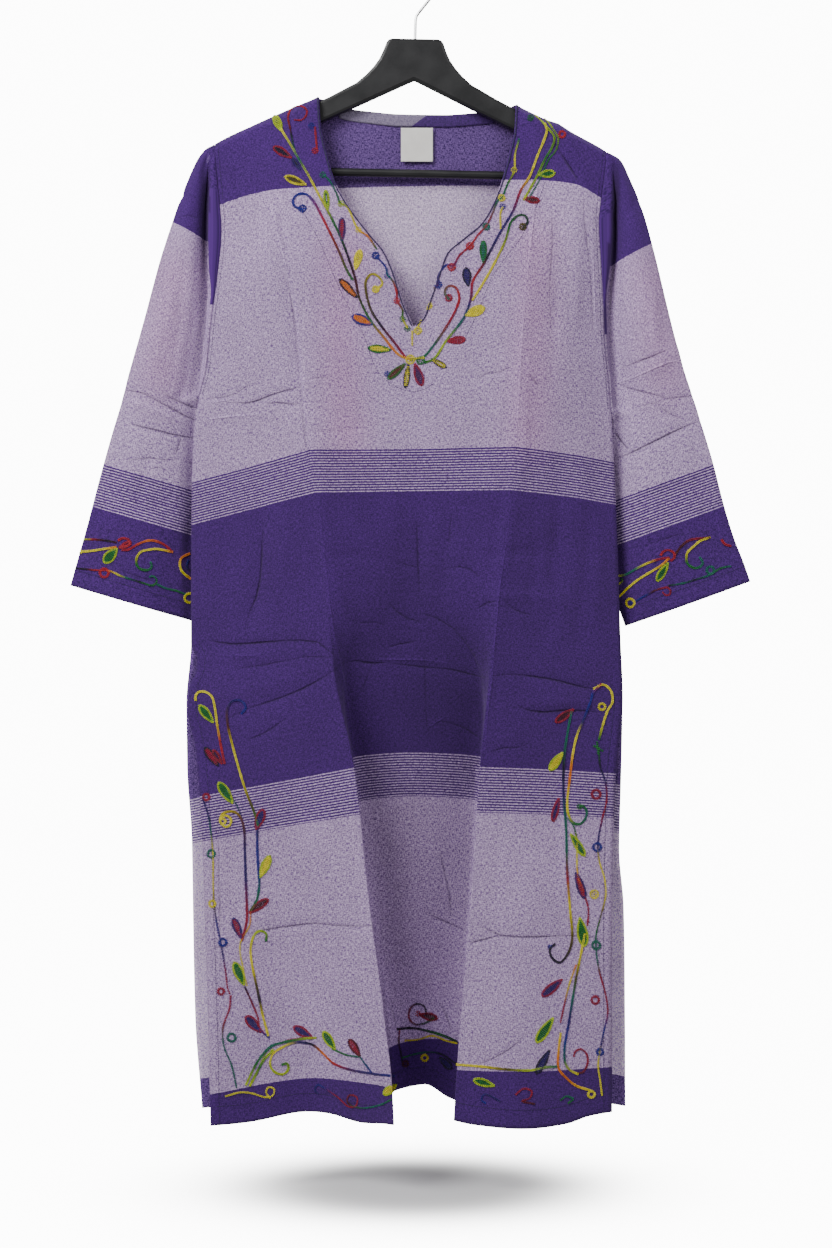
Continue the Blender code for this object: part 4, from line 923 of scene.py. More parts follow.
def clothMaterial(name, shades, bandValues=None):
    # woven cotton: bands of colour by the length down the cut, its yarns, and the creases of this cloth;
    # the body's weave runs straight across, and a sleeve's goes with its cut
    material, kit, shader = newMaterial(name, 0.86, 0.2, cottonShine)
    place = kit.cut()
    down = kit.split(place)[1]
    if bandValues is None:
        place = kit.join(kit.split(kit.place())[0], down)
    waver = kit.times(kit.minus(kit.noise(place, 160.0), 0.5), 0.0005)
    mask = kit.group(bands, Down=kit.plus(down, waver), **(bandValues or {}))["Mask"]
    out = kit.group(chambray, Place=place, Mask=mask, Warmth=kit.attribute("warmth"), **shades)
    creases = kit.group(
        creaseLines, Away=kit.attribute("creaseAway", "Vector"), Deep=kit.attribute("creaseDeep", "Vector"),
        Shelter=kit.attribute("shelter"),
    )
    # painted shade and painted light of the creases and folds, multiplied into the colour
    kit.feed(shader.inputs["Base Color"], kit.mix(1.0, out["Colour"], kit.grey(creases["Shade"]), "MULTIPLY"))
    folded = bump(kit, shader, creases["Relief"], 1.0, 0.001)
    bump(kit, shader, out["Relief"], 0.4, 0.001, folded)
    return material


sleeveBands = {"Yoke": 0.092, "StripesTop": 0.35, "Body": 0.394, "StripesLow": 9.0, "Skirt": 9.1, "Hem": 9.2}
bodyCloth = [clothMaterial("bodyCloth", yarns), clothMaterial("bodyClothReverse", reverse)]
sleeveCloth = [
    clothMaterial("sleeveCloth", yarns, sleeveBands), clothMaterial("sleeveClothReverse", reverse, sleeveBands),
]
print("materials ready")


# Panels
def widthwise(points, row, centreColumn):
    # distance across the cloth from one column, measured along one row, in metres
    steps = np.linalg.norm(np.diff(points[row], axis=0), axis=1)
    across = np.concatenate([[0], np.cumsum(steps)])
    return (across - across[centreColumn]) * mm


def joinNets(nets):
    # the points of some nets in one list, and the four-sided faces between them
    faces, start = [], 0
    for points, *_ in nets:
        rows, columns = points.shape[:2]
        index = np.arange(rows * columns).reshape(rows, columns) + start
        quads = np.stack([index[:-1, :-1], index[1:, :-1], index[1:, 1:], index[:-1, 1:]], axis=-1)
        faces.append(quads.reshape(-1, 4))
        start += rows * columns
    return np.concatenate([points.reshape(-1, 3) for points, *_ in nets]), np.concatenate(faces)


def clothObject(name, nets, materials, outward):
    # joins nets of points, with widths and lengths for their UV map, into one thin wall
    verts, faces = joinNets(nets)
    faces = faces[:, ::-1] if outward < 0 else faces
    uvs = [np.stack([np.broadcast_to(across, downs.shape), downs * mm], axis=-1) for _, across, downs in nets]
    uvs = np.concatenate([uv.reshape(-1, 2) for uv in uvs])
    mesh = bpy.data.meshes.new(name)
    mesh.from_pydata((verts * mm).tolist(), [], faces.tolist())
    mesh.uv_layers.new(name="cut").data.foreach_set("uv", uvs[faces.ravel()].ravel())
    shell = bmesh.new()
    shell.from_mesh(mesh)
    bmesh.ops.remove_doubles(shell, verts=shell.verts, dist=1e-5)
    shell.to_mesh(mesh)
    shell.free()
    mesh.shade_smooth()
    for finish in materials:
        mesh.materials.append(finish)
    piece = addObject(name, mesh)
    wall = piece.modifiers.new("wall", "SOLIDIFY")
    wall.material_offset = len(materials) - 1
    wall.thickness = cloth["wall"] * mm
    wall.offset = 0.0
    wall.use_quality_normals = True
    return piece


warm = {"step": 30.0, "past": 40.0}     # of a ridge: length of its bits, and how far the warmth goes past its ends


def addWarmth(piece, ridges, share=1.0):
    # marks how near each point of a piece is to the ridges where the lavender looks pinkish
    co = meshPoints(piece.data)
    warmth = np.zeros(len(co))
    for amount, width, path in ridges:
        line = roundPath(path, warm["step"])
        away = [np.hypot((co[:, 0] - a[0]) / width, (co[:, 2] - a[2]) / warm["past"]) for a in line]
        warmth = np.maximum(warmth, amount * np.exp(-(np.min(away, axis=0) ** 2)))
    mark(piece.data, "warmth", share * warmth)


# Painted shade and painted light: a value for each point darkens the cloth's colour a little where deep folds keep
# the light away, and where it is below 0 the cloth is painted lighter.
def paintedFoldShadeAndLight(co):
    # painted shade by how deep each point of the front lies between its two folds, turning to painted light near
    # the hem
    near, far = [frontSection(np.linspace(92, 1040, 80))[:, place] for place in (3, 11)]

    def at(edge, column):
        return np.interp(-co[:, 2], -edge[:, 2], edge[:, column])

    share = (co[:, 0] - at(near, 0)) / (at(far, 0) - at(near, 0))
    behind = co[:, 1] - at(near, 1) - (at(far, 1) - at(near, 1)) * np.clip(share, 0, 1)
    deep = np.where((share > 0) & (share < 1), np.clip(behind / 38.0, 0, 1) ** 0.8, 0)
    amount = 0.12 + 0.2 * np.clip(share, 0, 1) - np.interp(-co[:, 2], (980, 1120), (0, 0.4))
    # painted light on the shoulders
    lit = 0.18 * np.interp(co[:, 2], (-330, -240), (0, 1))         # the shoulders face the light
    return amount * deep * np.interp(-co[:, 2], (520, 640), (0, 1)) - lit


# painted shade beside each armhole strip's groove: height, where it begins, how dark and how wide it is
sleeveGroovePaintedShade = {
    -1: [(-198, -211, 0, 12), (-214, -211.6, 0.3, 13), (-240, -212, 0.68, 13), (-284, -213.6, 0.7, 13),
         (-336, -215, 0.66, 12), (-368, -216, 0.55, 12), (-430, -222.5, 0.35, 14), (-493, -230, 0.2, 16),
         (-556, -233, 0.18, 16), (-620, -233, 0.36, 13), (-660, -233, 0.36, 13)],
    1: [(-198, 205, 0, 9), (-212, 206, 0.45, 10), (-242, 205.6, 0.68, 11), (-305, 200.4, 0.7, 12),
        (-368, 197, 0.66, 12), (-430, 200, 0.45, 13), (-493, 206.6, 0.34, 15), (-556, 208.7, 0.34, 15),
        (-620, 210.8, 0.38, 13), (-660, 210.8, 0.38, 13)],
}


def paintedGrooveShadeAndLight(co, side):
    # painted shade by how near each point of a sleeve lies outside the groove beside its armhole strip
    rows = np.array(sleeveGroovePaintedShade[side], float)
    edge, amount, wide = [np.interp(-co[:, 2], -rows[:, 0], rows[:, column]) for column in (1, 2, 3)]
    away = side * (co[:, 0] - edge)
    dark = np.clip((wide - away) / (0.5 * wide), 0, 1)
    # painted light over the whole sleeve, more at its top
    lit = np.interp(co[:, 2], (-420, -340), (0.13, 0.22))
    return np.where(away > 0, amount * dark * dark * (3 - 2 * dark), 0) - lit


frontParts = []
rawNets = [frontNet(0), frontNet(1)]
shapes = [netPoints(frontPoint, net) for net in rawNets]
turns = [netNormals(points, 1) for points in shapes]
joined = len(grid["shoulderRows"]) + int(np.argmax(bodyRows() >= neck["bottom"]))
seamTurn = turns[0][joined:, -1] + turns[1][joined:, 0]
seamTurn /= np.linalg.norm(seamTurn, axis=-1, keepdims=True)
turns[0][joined:, -1] = seamTurn
turns[1][joined:, 0] = seamTurn
for side in (0, 1):
    points = press(shapes[side], turns[side], frontCreases, 1.0)
    points = settle(points, turns[side], 0.22, 1.0)
    across = widthwise(shapes[side], grid["widthRow"], -1 if side == 0 else 0)
    downs, places = rawNets[side]
    rise = np.exp(-(((places - 7) / 2.2) ** 2)) * np.clip((downs - 850) / 150, 0, 1)
    rise *= 12.0                                                     # the hem's band lies higher in the recess
    frontParts.append((points, across, downs + rise))
frontPiece = clothObject("frontPanel", frontParts, bodyCloth, 1)
addWarmth(frontPiece, [
    (0.65, 26, (-75, -310, -76, -400, -70, -480)), (0.6, 26, (125, -300, 122, -400, 118, -480)),
])
# painted shade in the front's recess, painted light near its hem and on its shoulders
mark(frontPiece.data, "shelter", paintedFoldShadeAndLight(meshPoints(frontPiece.data)))
markCreases(frontPiece, frontCreases, 1.0)

rawBack = backNet()
points = netPoints(backPoint, rawBack)
normals = netNormals(points, -1)
across = widthwise(points, grid["widthRow"], grid["backCentre"])
points = settle(press(points, normals, backCreases, 2.0), normals, 0.3, 2.0)
backParts = [(points, across, rawBack[0])]
backPiece = clothObject("backPanel", backParts, bodyCloth, -1)
inner = (pointValues(backPiece.data, "normal")[:, 1] < 0).astype(float)     # the face that the neck shows
addWarmth(backPiece, [(0.6, 30, (-60, -300, -58, -480)), (0.6, 30, (60, -300, 62, -480))], inner)
co = meshPoints(backPiece.data)
edges = np.interp(np.abs(co[:, 0] + 8), (196, 212), (0, 1))
spots = ((-62, -330), (-38, -362), (-16, -392), (10, -410))
throat = np.linalg.norm([(co[:, ::2] - spot) / (34, 44) for spot in spots], axis=2).min(axis=0)
# painted light on its edges, and on the place below the neck opening, as if they caught more light
mark(backPiece.data, "shelter", -0.5 * np.maximum(edges, inner * np.exp(-(throat**2))))
markCreases(backPiece, backCreases, 2.0)
print("front and back ready")

sleeveParts = {}
for side, cap, tube, underarm, creases in (
    (-1, capLeft, tubeLeft, 281.0, sleeveCreasesLeft),
    (1, capRight, tubeRight, 317.0, sleeveCreasesRight),
):
    points = sleeveNet(cap, tube, underarm, side)
    normals = netNormals(points, side)
    top = sleeves["outerTop"][side]
    droop = np.radians(np.interp(top[1] - points[..., 2], (90, 260), sleeves["fall"][side]))
    downs = side * (points[..., 0] - top[0]) * np.sin(droop) + (top[1] - points[..., 2]) * np.cos(droop)
    marks, edges = [
        [rows[0] - 100, *rows, rows[2] + 200] for rows in (sleeves["woven"][side], sleeves["bands"])
    ]
    downs = np.interp(downs, marks, edges)
    strip = (sleeves["places"] < 2.4)[None] & (points[..., 1] < 12) & (points[..., 2] > sleeves["stripEnd"][side])
    downs = np.where(strip, np.minimum(downs, sleeves["purpleStrip"]), downs)
    across = widthwise(points, len(points) // 2, 0)
    worn = settle(press(points, normals, creases, 3.0 + side), normals, 0.3, 3.0 + side)
    columns = np.arange(points.shape[1])
    free = np.clip(np.minimum(columns, columns[::-1]) / 3, 0, 1)[None, :, None]      # the seam itself stays
    free = np.where(np.arange(len(points))[:, None, None] > len(points) // 2 + 12, 1.0, free)
    points = points + (worn - points) * free
    name = "sleeveLeft" if side < 0 else "sleeveRight"
    sleeveParts[side] = [(points, across, downs)]
    piece = clothObject(name, sleeveParts[side], sleeveCloth, side)
    addWarmth(piece, [(0.5, 30, (side * 250, -330, side * 262, -420))])
    # painted shade beside the armhole, painted light over the rest of the sleeve
    mark(piece.data, "shelter", paintedGrooveShadeAndLight(meshPoints(piece.data), side))
    markCreases(piece, creases, 3.0 + side)
    sleeveParts[name] = piece
print("sleeves ready")


# Embroidery and stitches
threads = {
    "yellow": tone(226, 212, 30), "lime": tone(176, 196, 16), "olive": tone(92, 80, 14),
    "green": tone(8, 108, 38), "teal": tone(10, 104, 86), "blue": tone(22, 28, 136),
    "indigo": tone(44, 22, 104), "purple": tone(76, 14, 88), "crimson": tone(152, 14, 52),
    "red": tone(178, 26, 36), "orange": tone(220, 118, 22), "brown": tone(98, 46, 22),
    "maroon": tone(76, 10, 28), "dark": tone(24, 16, 42),
}
embroidery = {
    "step": 1.8,           # length of a chain stitch along its line
    "rise": 0.8,           # height of a line's middle above the cloth's middle
    "thick": 0.62,         # radius of one strand
    "spread": 1.0,         # how far a stitch's two strands open
}
sewing = {
    "step": 2.7, "length": 2.2, "thick": 0.26, "rise": 0.62, "shade": tone(30, 20, 56),
    "armhole": 4.0, "slit": 9.5,           # how far in from the edge each line of stitches is
    "hem": 19.0, "cuff": 17.0, "neck": 1.5,
    "edging": 3.0,                         # size of the stitches over the neck's edge
}


neckFlowers = {"stems": [
    ("yellow teal yellow green dark maroon green orange yellow", 1, (-138, -171, -127, -189, -119, -203, -109, -220,
        -99, -239, -90, -255, -76, -284, -66, -311, -61, -327, -57, -346, -45, -370, -33, -385, -16, -405, -6, -409,
        10, -408)),
    ("blue blue red brown green", 1, (-116, -254, -124, -251, -126, -245, -122, -239, -113, -238, -105, -245, -96,
        -261, -88, -277, -78, -298, -70, -317, -64, -327)),
    ("yellow olive dark crimson", 1, (-39, -337, -33, -331, -37, -324, -44, -321, -50, -328, -50, -339, -45, -358,
        -35, -374, -20, -393, -9, -408)),
    ("teal red crimson teal green", 1, (36, -347, 32, -341, 35, -334, 43, -335, 47, -346, 43, -359, 31, -380, 19,
        -397, 10, -407, -4, -410)),
    ("green lime teal indigo red dark indigo indigo crimson yellow yellow yellow", 1, (12, -413, 21, -409, 33, -391,
        52, -366, 59, -346, 61, -329, 72, -311, 82, -292, 90, -277, 103, -255, 111, -234, 120, -220, 128, -199, 138,
        -171, 136, -165)),
    ("lime green lime", 1, (126, -157, 138, -168, 146, -179, 142, -192, 137, -200, 127, -221, 114, -244)),
    ("lime green teal", 0.75, (130, -155, 142, -167, 150, -180, 147, -193, 140, -202, 131, -222, 118, -245)),
    ("dark green yellow yellow", 1, (113, -274, 118, -267, 116, -261, 109, -260, 101, -267, 95, -286, 84, -309, 74,
        -327, 61, -348)),
    ("yellow yellow purple blue crimson red crimson teal green yellow teal", 0.85, (4, -376, 10, -364, 14, -354, 19,
        -338, 25, -332, 25, -323, 35, -311, 40, -313, 47, -302, 59, -291, 66, -281, 75, -271, 82, -257, 87, -245,
        91, -242, 97, -228, 104, -214, 105, -197, 109, -181)),
    ("yellow yellow", 0.85, (92, -252, 90, -257, 90, -274)),
    ("teal teal green yellow yellow orange green", 0.85, (-93, -219, -88, -224, -80, -239, -77, -247, -70, -251,
        -58, -275, -49, -281, -39, -295)),
    ("blue blue teal red crimson green yellow", 0.85, (-39, -303, -29, -315, -28, -322, -23, -327, -18, -341, -18,
        -348, -12, -359, -12, -367, -7, -377)),
    ("yellow yellow", 0.8, (-2, -381, -2, -395)),
    ("crimson red red dark teal", 0.8, (-124, -161, -117, -161, -112, -156, -112, -150, -119, -147, -127, -150,
        -131, -158, -129, -169, -126, -185, -123, -197)),
    ("crimson red", 0.85, (-103, -169, -101, -191)),
], "leaves": [
    ("lime", "lime", -138, -172, -145, -157, 8.3), ("crimson", "dark", -128, -200, -146, -189, 8.3),
    ("yellow", "olive", -113, -228, -134, -220, 8.3), ("lime", "green", -90, -254, -92, -234, 6.2),
    ("indigo", "crimson", -75, -286, -75, -263, 7.3), ("yellow", "yellow", -61, -316, -56, -296, 8.3),
    ("dark", "orange", -60, -345, -77, -327, 8.3), ("blue", "orange", -44, -373, -64, -365, 10.4),
    ("green", "yellow", -25, -400, -47, -398, 8.3), ("indigo", "dark", -119, -212, -126, -201, 5.2),
    ("green", "brown", -10, -415, -27, -430, 7.3), ("dark", "yellow", -6, -416, -9, -439, 6.2),
    ("crimson", "purple", 1, -415, 8, -437, 9.4), ("dark", "yellow", 19, -410, 33, -418, 6.2),
    ("crimson", "crimson", 35, -391, 53, -389, 8.3), ("yellow", "yellow", 54, -364, 73, -356, 10.4),
    ("dark", "indigo", 56, -333, 54, -315, 9.4), ("green", "teal", 72, -309, 72, -287, 7.3),
    ("crimson", "maroon", 115, -243, 130, -245, 7.3), ("lime", "green", 130, -218, 146, -216, 8.3),
], "rings": [
    ("blue", -107, -167, 2.9, 1), ("red", -103, -193, 2.9, 1), ("blue", -28, -425, 2.7, 1),
    ("green", 121, -159, 2.9, 1), ("red", 154, -176, 3.3, 0), ("teal", -95, -218, 2.9, 1),
    ("lime", -76, -248, 2.9, 1), ("yellow", -58, -275, 2.9, 1), ("blue", -40, -302, 3.2, 1),
    ("blue", -28, -323, 2.7, 0), ("red", -18, -349, 2.9, 1), ("green", -12, -368, 2.9, 1),
    ("green", -7, -378, 2.9, 1), ("yellow", 4, -380, 3.5, 1), ("yellow", 15, -354, 3.5, 1),
    ("blue", 25, -332, 3.5, 1), ("red", 39, -314, 3.5, 1), ("red", 58, -292, 3.5, 1), ("teal", 75, -272, 3.2, 1),
    ("yellow", 91, -242, 3.2, 1), ("yellow", 104, -213, 2.7, 0), ("blue", 92, -251, 2.9, 1),
    ("blue", -116, -253, 3.5, 1), ("olive", 113, -272, 3.2, 1), ("crimson", 36, -346, 3.2, 1),
    ("yellow", -40, -337, 3.2, 1), ("yellow", -4, -410, 4.3, 1), ("green", 7, -411, 3.8, 1),
]}
slitFlowersLeft = {"stems": [
    ("yellow yellow yellow red crimson", 1, (-227, -764, -227, -760, -224, -756, -216, -756, -210, -761, -207, -772,
        -205, -787, -201, -810, -197, -830)),
    ("blue indigo brown yellow yellow olive green", 1, (-179, -778, -175, -772, -178, -766, -184, -764, -190, -766,
        -194, -773, -194, -787, -190, -806, -183, -832, -175, -858, -166, -881, -162, -895)),
    ("indigo blue blue teal green", 1, (-163, -900, -163, -918, -162, -939, -161, -957, -164, -973, -170, -983)),
    ("yellow yellow brown indigo indigo crimson crimson", 1, (-200, -893, -196, -896, -191, -893, -191, -887, -198,
        -884, -202, -890, -199, -882, -188, -880, -181, -885, -177, -897, -176, -920, -175, -951, -174, -977, -174,
        -993, -179, -1014)),
    ("green lime yellow yellow olive dark yellow yellow", 1, (-154, -1014, -154, -1007, -160, -1004, -166, -1008,
        -170, -1021, -169, -1037, -163, -1066, -158, -1090, -152, -1113)),
    ("indigo indigo teal yellow yellow yellow olive blue indigo indigo crimson crimson", 0.7, (-220, -866, -214,
        -884, -211, -904, -209, -926, -209, -951, -208, -977, -205, -998, -202, -1012, -199, -1029, -196, -1048,
        -194, -1064, -192, -1069)),
    ("crimson crimson teal teal teal", 0.75, (-191, -1072, -192, -1084, -199, -1105, -198, -1124, -190, -1144, -185,
        -1167)),
    ("lime green teal green lime", 1, (-175, -1164, -169, -1151, -161, -1137, -149, -1124, -136, -1120, -114, -1116,
        -102, -1115)),
    ("lime green lime", 1.1, (-171, -1165, -164, -1152, -157, -1139, -147, -1128)),
    ("dark crimson crimson", 0.8, (-176, -1063, -170, -1076, -162, -1097, -162, -1103, -156, -1111)),
    ("blue blue", 0.8, (-162, -1106, -151, -1115)),
    ("orange yellow yellow", 0.7, (-170, -985, -171, -998, -181, -1018, -178, -1043, -174, -1061)),
    ("teal indigo", 0.6, (-196, -863, -188, -868, -181, -881, -178, -891)),
], "leaves": [
    ("lime", "green", -209, -787, -223, -770, 9.4), ("dark", "crimson", -204, -832, -217, -814, 8.3),
    ("crimson", "maroon", -200, -830, -209, -816, 6.2), ("lime", "green", -189, -871, -203, -850, 10.4),
    ("crimson", "indigo", -164, -898, -157, -878, 9.4), ("lime", "yellow", -160, -948, -150, -926, 9.4),
    ("crimson", "maroon", -171, -985, -152, -971, 8.3), ("indigo", "crimson", -180, -1011, -188, -991, 8.3),
    ("lime", "green", -177, -1060, -187, -1037, 10.4), ("crimson", "indigo", -160, -1109, -175, -1093, 10.4),
], "rings": [
    ("crimson", -216, -865, 3.5, 0), ("teal", -211, -924, 4, 0), ("yellow", -210, -976, 3.5, 0),
    ("blue", -199, -1016, 4, 0), ("crimson", -201, -1067, 3.5, 0), ("teal", -190, -1115, 4.4, 0),
    ("yellow", -199, -890, 3.1, 0),
]}
slitFlowersRight = {"stems": [
    ("crimson blue blue indigo yellow yellow orange orange yellow yellow green teal green", 1, (194, -748, 186,
        -756, 183, -766, 176, -784, 169, -801, 165, -819, 162, -843, 159, -873, 161, -885, 166, -892, 172, -893,
        178, -887, 179, -879, 175, -874, 172, -875)),
    ("yellow yellow yellow yellow green", 1, (187, -752, 196, -748, 204, -754, 206, -766, 201, -775, 196, -790, 192,
        -805)),
    ("green dark indigo crimson crimson indigo indigo yellow yellow yellow olive green teal teal crimson crimson "
        "crimson blue indigo yellow yellow yellow", 0.75, (192, -814, 193, -832, 199, -851, 200, -868, 195, -889,
        191, -912, 192, -930, 198, -951, 199, -967, 194, -988, 189, -1008, 189, -1024, 192, -1045, 199, -1071, 201,
        -1089, 196, -1113, 192, -1134, 191, -1145, 193, -1159, 195, -1175)),
    ("teal teal dark indigo teal teal crimson yellow olive dark dark", 1, (163, -777, 159, -800, 156, -821, 155,
        -858, 158, -899, 159, -941, 162, -982, 164, -1014, 159, -1029, 151, -1037, 143, -1032, 141, -1023, 146,
        -1018)),
    ("teal green yellow yellow orange crimson crimson crimson", 0.75, (159, -887, 165, -894, 169, -910, 169, -930,
        170, -946, 177, -967, 181, -982, 180, -998)),
    ("yellow yellow olive teal indigo blue teal yellow", 1, (177, -1008, 173, -1029, 167, -1060, 161, -1097, 156,
        -1128, 157, -1142, 162, -1149, 170, -1153)),
    ("orange yellow crimson crimson", 0.75, (168, -1040, 161, -1060, 157, -1076, 152, -1099)),
    ("yellow orange orange yellow", 1, (152, -1111, 150, -1128, 150, -1147, 158, -1157, 168, -1165, 183, -1170)),
    ("crimson crimson crimson maroon", 0.85, (166, -1134, 167, -1130, 173, -1127, 179, -1132, 180, -1142, 175,
        -1151, 169, -1152)),
    ("green green", 0.8, (187, -812, 196, -817)),
    ("green green", 0.8, (190, -808, 191, -820)),
    ("yellow yellow olive lime teal", 1, (44, -1143, 69, -1145, 95, -1148, 121, -1149, 136, -1146, 148, -1145)),
], "leaves": [
    ("crimson", "maroon", 165, -774, 147, -787, 8.3), ("lime", "yellow", 154, -819, 141, -837, 9.4),
    ("crimson", "indigo", 150, -867, 144, -890, 7), ("lime", "green", 163, -904, 177, -926, 8.3),
    ("indigo", "crimson", 168, -944, 177, -970, 8.3), ("lime", "green", 172, -991, 177, -1020, 11.4),
    ("crimson", "indigo", 153, -1055, 133, -1072, 9.4), ("lime", "green", 144, -1095, 127, -1120, 10.4),
    ("dark", "indigo", 140, -1129, 127, -1152, 8.3), ("lime", "green", 83, -1165, 62, -1159, 8.3),
], "rings": [
    ("yellow", 195, -771, 3.7, 0), ("crimson", 189, -862, 4.8, 0), ("blue", 190, -917, 4.4, 0),
    ("yellow", 187, -966, 4.2, 1), ("teal", 189, -1019, 4.4, 0), ("crimson", 188, -1076, 4.2, 0),
    ("blue", 193, -1130, 3.5, 0), ("yellow", 184, -1174, 3.7, 0), ("green", 172, -875, 2.7, 1),
    ("blue", 141, -1021, 2.1, 1),
]}
hemFlowers = {"stems": [
    ("crimson crimson teal green lime lime yellow", 0.6, (-114, -1115, -133, -1118, -152, -1128, -162, -1147, -171,
        -1164)),
    ("green lime lime yellow yellow indigo dark orange red purple indigo indigo blue", 1, (-137, -1143, -132, -1142,
        -131, -1148, -136, -1153, -145, -1151, -150, -1143, -147, -1132, -137, -1125, -123, -1120, -106, -1122, -96,
        -1130, -83, -1142, -67, -1148, -46, -1152, -21, -1155)),
    ("green green teal", 0.8, (-84, -1127, -70, -1133, -58, -1135)),
    ("teal blue", 0.8, (-56, -1135, -44, -1151)),
    ("yellow yellow yellow yellow", 0.75, (-196, -1176, -181, -1172, -169, -1173, -154, -1177, -147, -1175, -146,
        -1168, -152, -1167, -154, -1172, -150, -1178)),
    ("indigo blue crimson crimson crimson maroon teal teal green", 0.75, (-100, -1173, -103, -1170, -100, -1164,
        -92, -1168, -79, -1177, -67, -1187, -60, -1186, -59, -1177, -67, -1175, -69, -1182, -56, -1188, -35, -1185,
        -19, -1177)),
    ("dark dark crimson dark green", 0.8, (13, -1091, 10, -1082, 2, -1080, -4, -1085, -5, -1095, 1, -1101, 11,
        -1100, 20, -1095)),
    ("dark dark green dark", 1, (-17, -1106, -2, -1105, 14, -1108, 31, -1113, 45, -1119)),
    ("yellow yellow yellow", 0.8, (-9, -1118, 4, -1117, 19, -1113, 33, -1118, 45, -1121)),
    ("green teal dark dark", 0.75, (-12, -1136, 1, -1132, 14, -1130, 28, -1132, 45, -1143)),
    ("crimson maroon dark dark", 0.75, (-15, -1107, -16, -1120, -14, -1130, -12, -1141)),
    ("blue indigo indigo", 0.8, (74, -1183, 70, -1180, 73, -1174, 80, -1176, 89, -1181)),
    ("crimson crimson maroon", 0.8, (106, -1174, 114, -1168, 122, -1171, 120, -1178, 112, -1181, 125, -1184)),
    ("green teal green", 0.8, (152, -1180, 158, -1176, 165, -1179, 160, -1183)),
], "leaves": [
    ("crimson", "indigo", -106, -1115, -125, -1104, 9.4), ("lime", "green", -82, -1127, -94, -1109, 9.4),
    ("maroon", "crimson", -56, -1134, -67, -1117, 8.3), ("lime", "yellow", -19, -1164, -31, -1174, 8.3),
    ("crimson", "maroon", 6, -1091, 24, -1095, 8.3), ("dark", "indigo", 27, -1136, 39, -1147, 8.3),
], "rings": [
    ("yellow", 11, -1136, 3.5, 0), ("maroon", -9, -1142, 3.1, 1), ("red", 4, -1090, 2.5, 1),
]}
cuffFlowersLeft = {"stems": [
    ("yellow yellow yellow orange", 1, (-346, -610, -335, -609, -322, -607, -310, -605)),
    ("lime crimson maroon dark maroon", 0.9, (-342, -597, -335, -597, -322, -598, -310, -600)),
    ("red crimson red crimson", 1, (-307, -598, -304, -596, -300, -596, -296, -598, -295, -602, -299, -604, -306,
        -605)),
    ("crimson red orange red crimson", 1, (-303, -608, -298, -608, -289, -603, -280, -599, -273, -598, -265, -600,
        -258, -604, -252, -610)),
    ("orange yellow yellow yellow green green teal", 1, (-252, -610, -268, -607, -277, -608, -284, -610, -288, -615,
        -289, -621, -287, -626, -280, -629, -275, -628, -273, -625, -274, -621)),
    ("dark dark red red yellow teal dark green green teal", 0.8, (-352, -627, -341, -628, -332, -629, -316, -630,
        -305, -635, -283, -642, -277, -644, -272, -645, -268, -641, -269, -637, -273, -635, -275, -636)),
    ("teal teal green teal", 0.8, (-267, -644, -258, -648, -249, -650, -238, -654)),
    ("orange orange yellow yellow orange", 1, (-234, -612, -239, -614, -243, -617, -244, -624, -242, -630, -238,
        -634, -231, -639)),
    ("blue dark", 0.8, (-235, -619, -237, -625, -233, -630)),
], "leaves": [
    ("lime", "green", -309, -607, -322, -621, 11.4), ("crimson", "red", -306, -606, -295, -600, 6.2),
], "rings": [
    ("red", -322, -632, 4.8, 0), ("yellow", -234, -658, 5.2, 0), ("yellow", -346, -610, 1.7, 1),
]}
cuffFlowersRight = {"stems": [
    ("yellow teal teal yellow crimson crimson", 1, (209, -635, 219, -634, 227, -630, 234, -626, 245, -621, 257,
        -617, 265, -616)),
    ("yellow yellow yellow orange", 1, (211, -659, 221, -649, 233, -639, 246, -631, 257, -624, 265, -617)),
    ("red crimson red crimson", 1, (257, -613, 259, -610, 264, -608, 269, -610, 271, -613, 270, -617, 267, -619)),
    ("maroon maroon crimson maroon", 1, (272, -612, 278, -604, 286, -598, 307, -595)),
    ("yellow yellow yellow yellow green green teal teal", 1, (307, -595, 297, -599, 291, -604, 284, -611, 283, -616,
        284, -622, 289, -626, 293, -627, 298, -625, 300, -621, 297, -616)),
    ("red crimson", 1, (320, -598, 323, -602, 329, -604)),
    ("yellow green", 0.8, (210, -645, 215, -642, 217, -640, 216, -638)),
    ("blue blue maroon crimson crimson crimson", 0.8, (231, -661, 245, -653, 251, -650, 257, -648, 264, -647, 267,
        -651, 265, -655, 262, -655, 259, -652)),
    ("dark teal dark teal green teal", 0.8, (265, -645, 272, -644, 282, -642, 292, -639, 302, -636, 309, -633, 319,
        -627, 329, -625)),
], "leaves": [
    ("lime", "green", 264, -622, 253, -640, 8.3),
], "rings": [
    ("yellow", 225, -663, 4.7, 0), ("blue", 226, -663, 1.8, 1), ("teal", 308, -629, 4.2, 0),
]}


def strand(shape, start, end, radius, sides=5):
    # a bent capsule of thread from start to end, bowed up in its middle
    axis = (end - start).normalized()
    across = axis.cross(Vector((0, 0, 1))).normalized()
    up = across.cross(axis)
    rings = []
    for share, size, bow in ((0.0, 0.5, 0.0), (0.42, 1.08, 0.9), (1.0, 0.45, 0.0)):
        middle = start.lerp(end, share) + up * bow * radius * 0.6
        ring = []
        for k in range(sides):
            turn = 2 * math.pi * k / sides
            offset = across * math.cos(turn) + up * math.sin(turn)
            ring.append(shape.verts.new(middle + offset * radius * size))
        rings.append(ring)
    for low, high in zip(rings, rings[1:]):
        for k in range(sides):
            shape.faces.new((low[k], low[(k + 1) % sides], high[(k + 1) % sides], high[k]))
    shape.faces.new(rings[0][::-1])
    shape.faces.new(rings[-1])


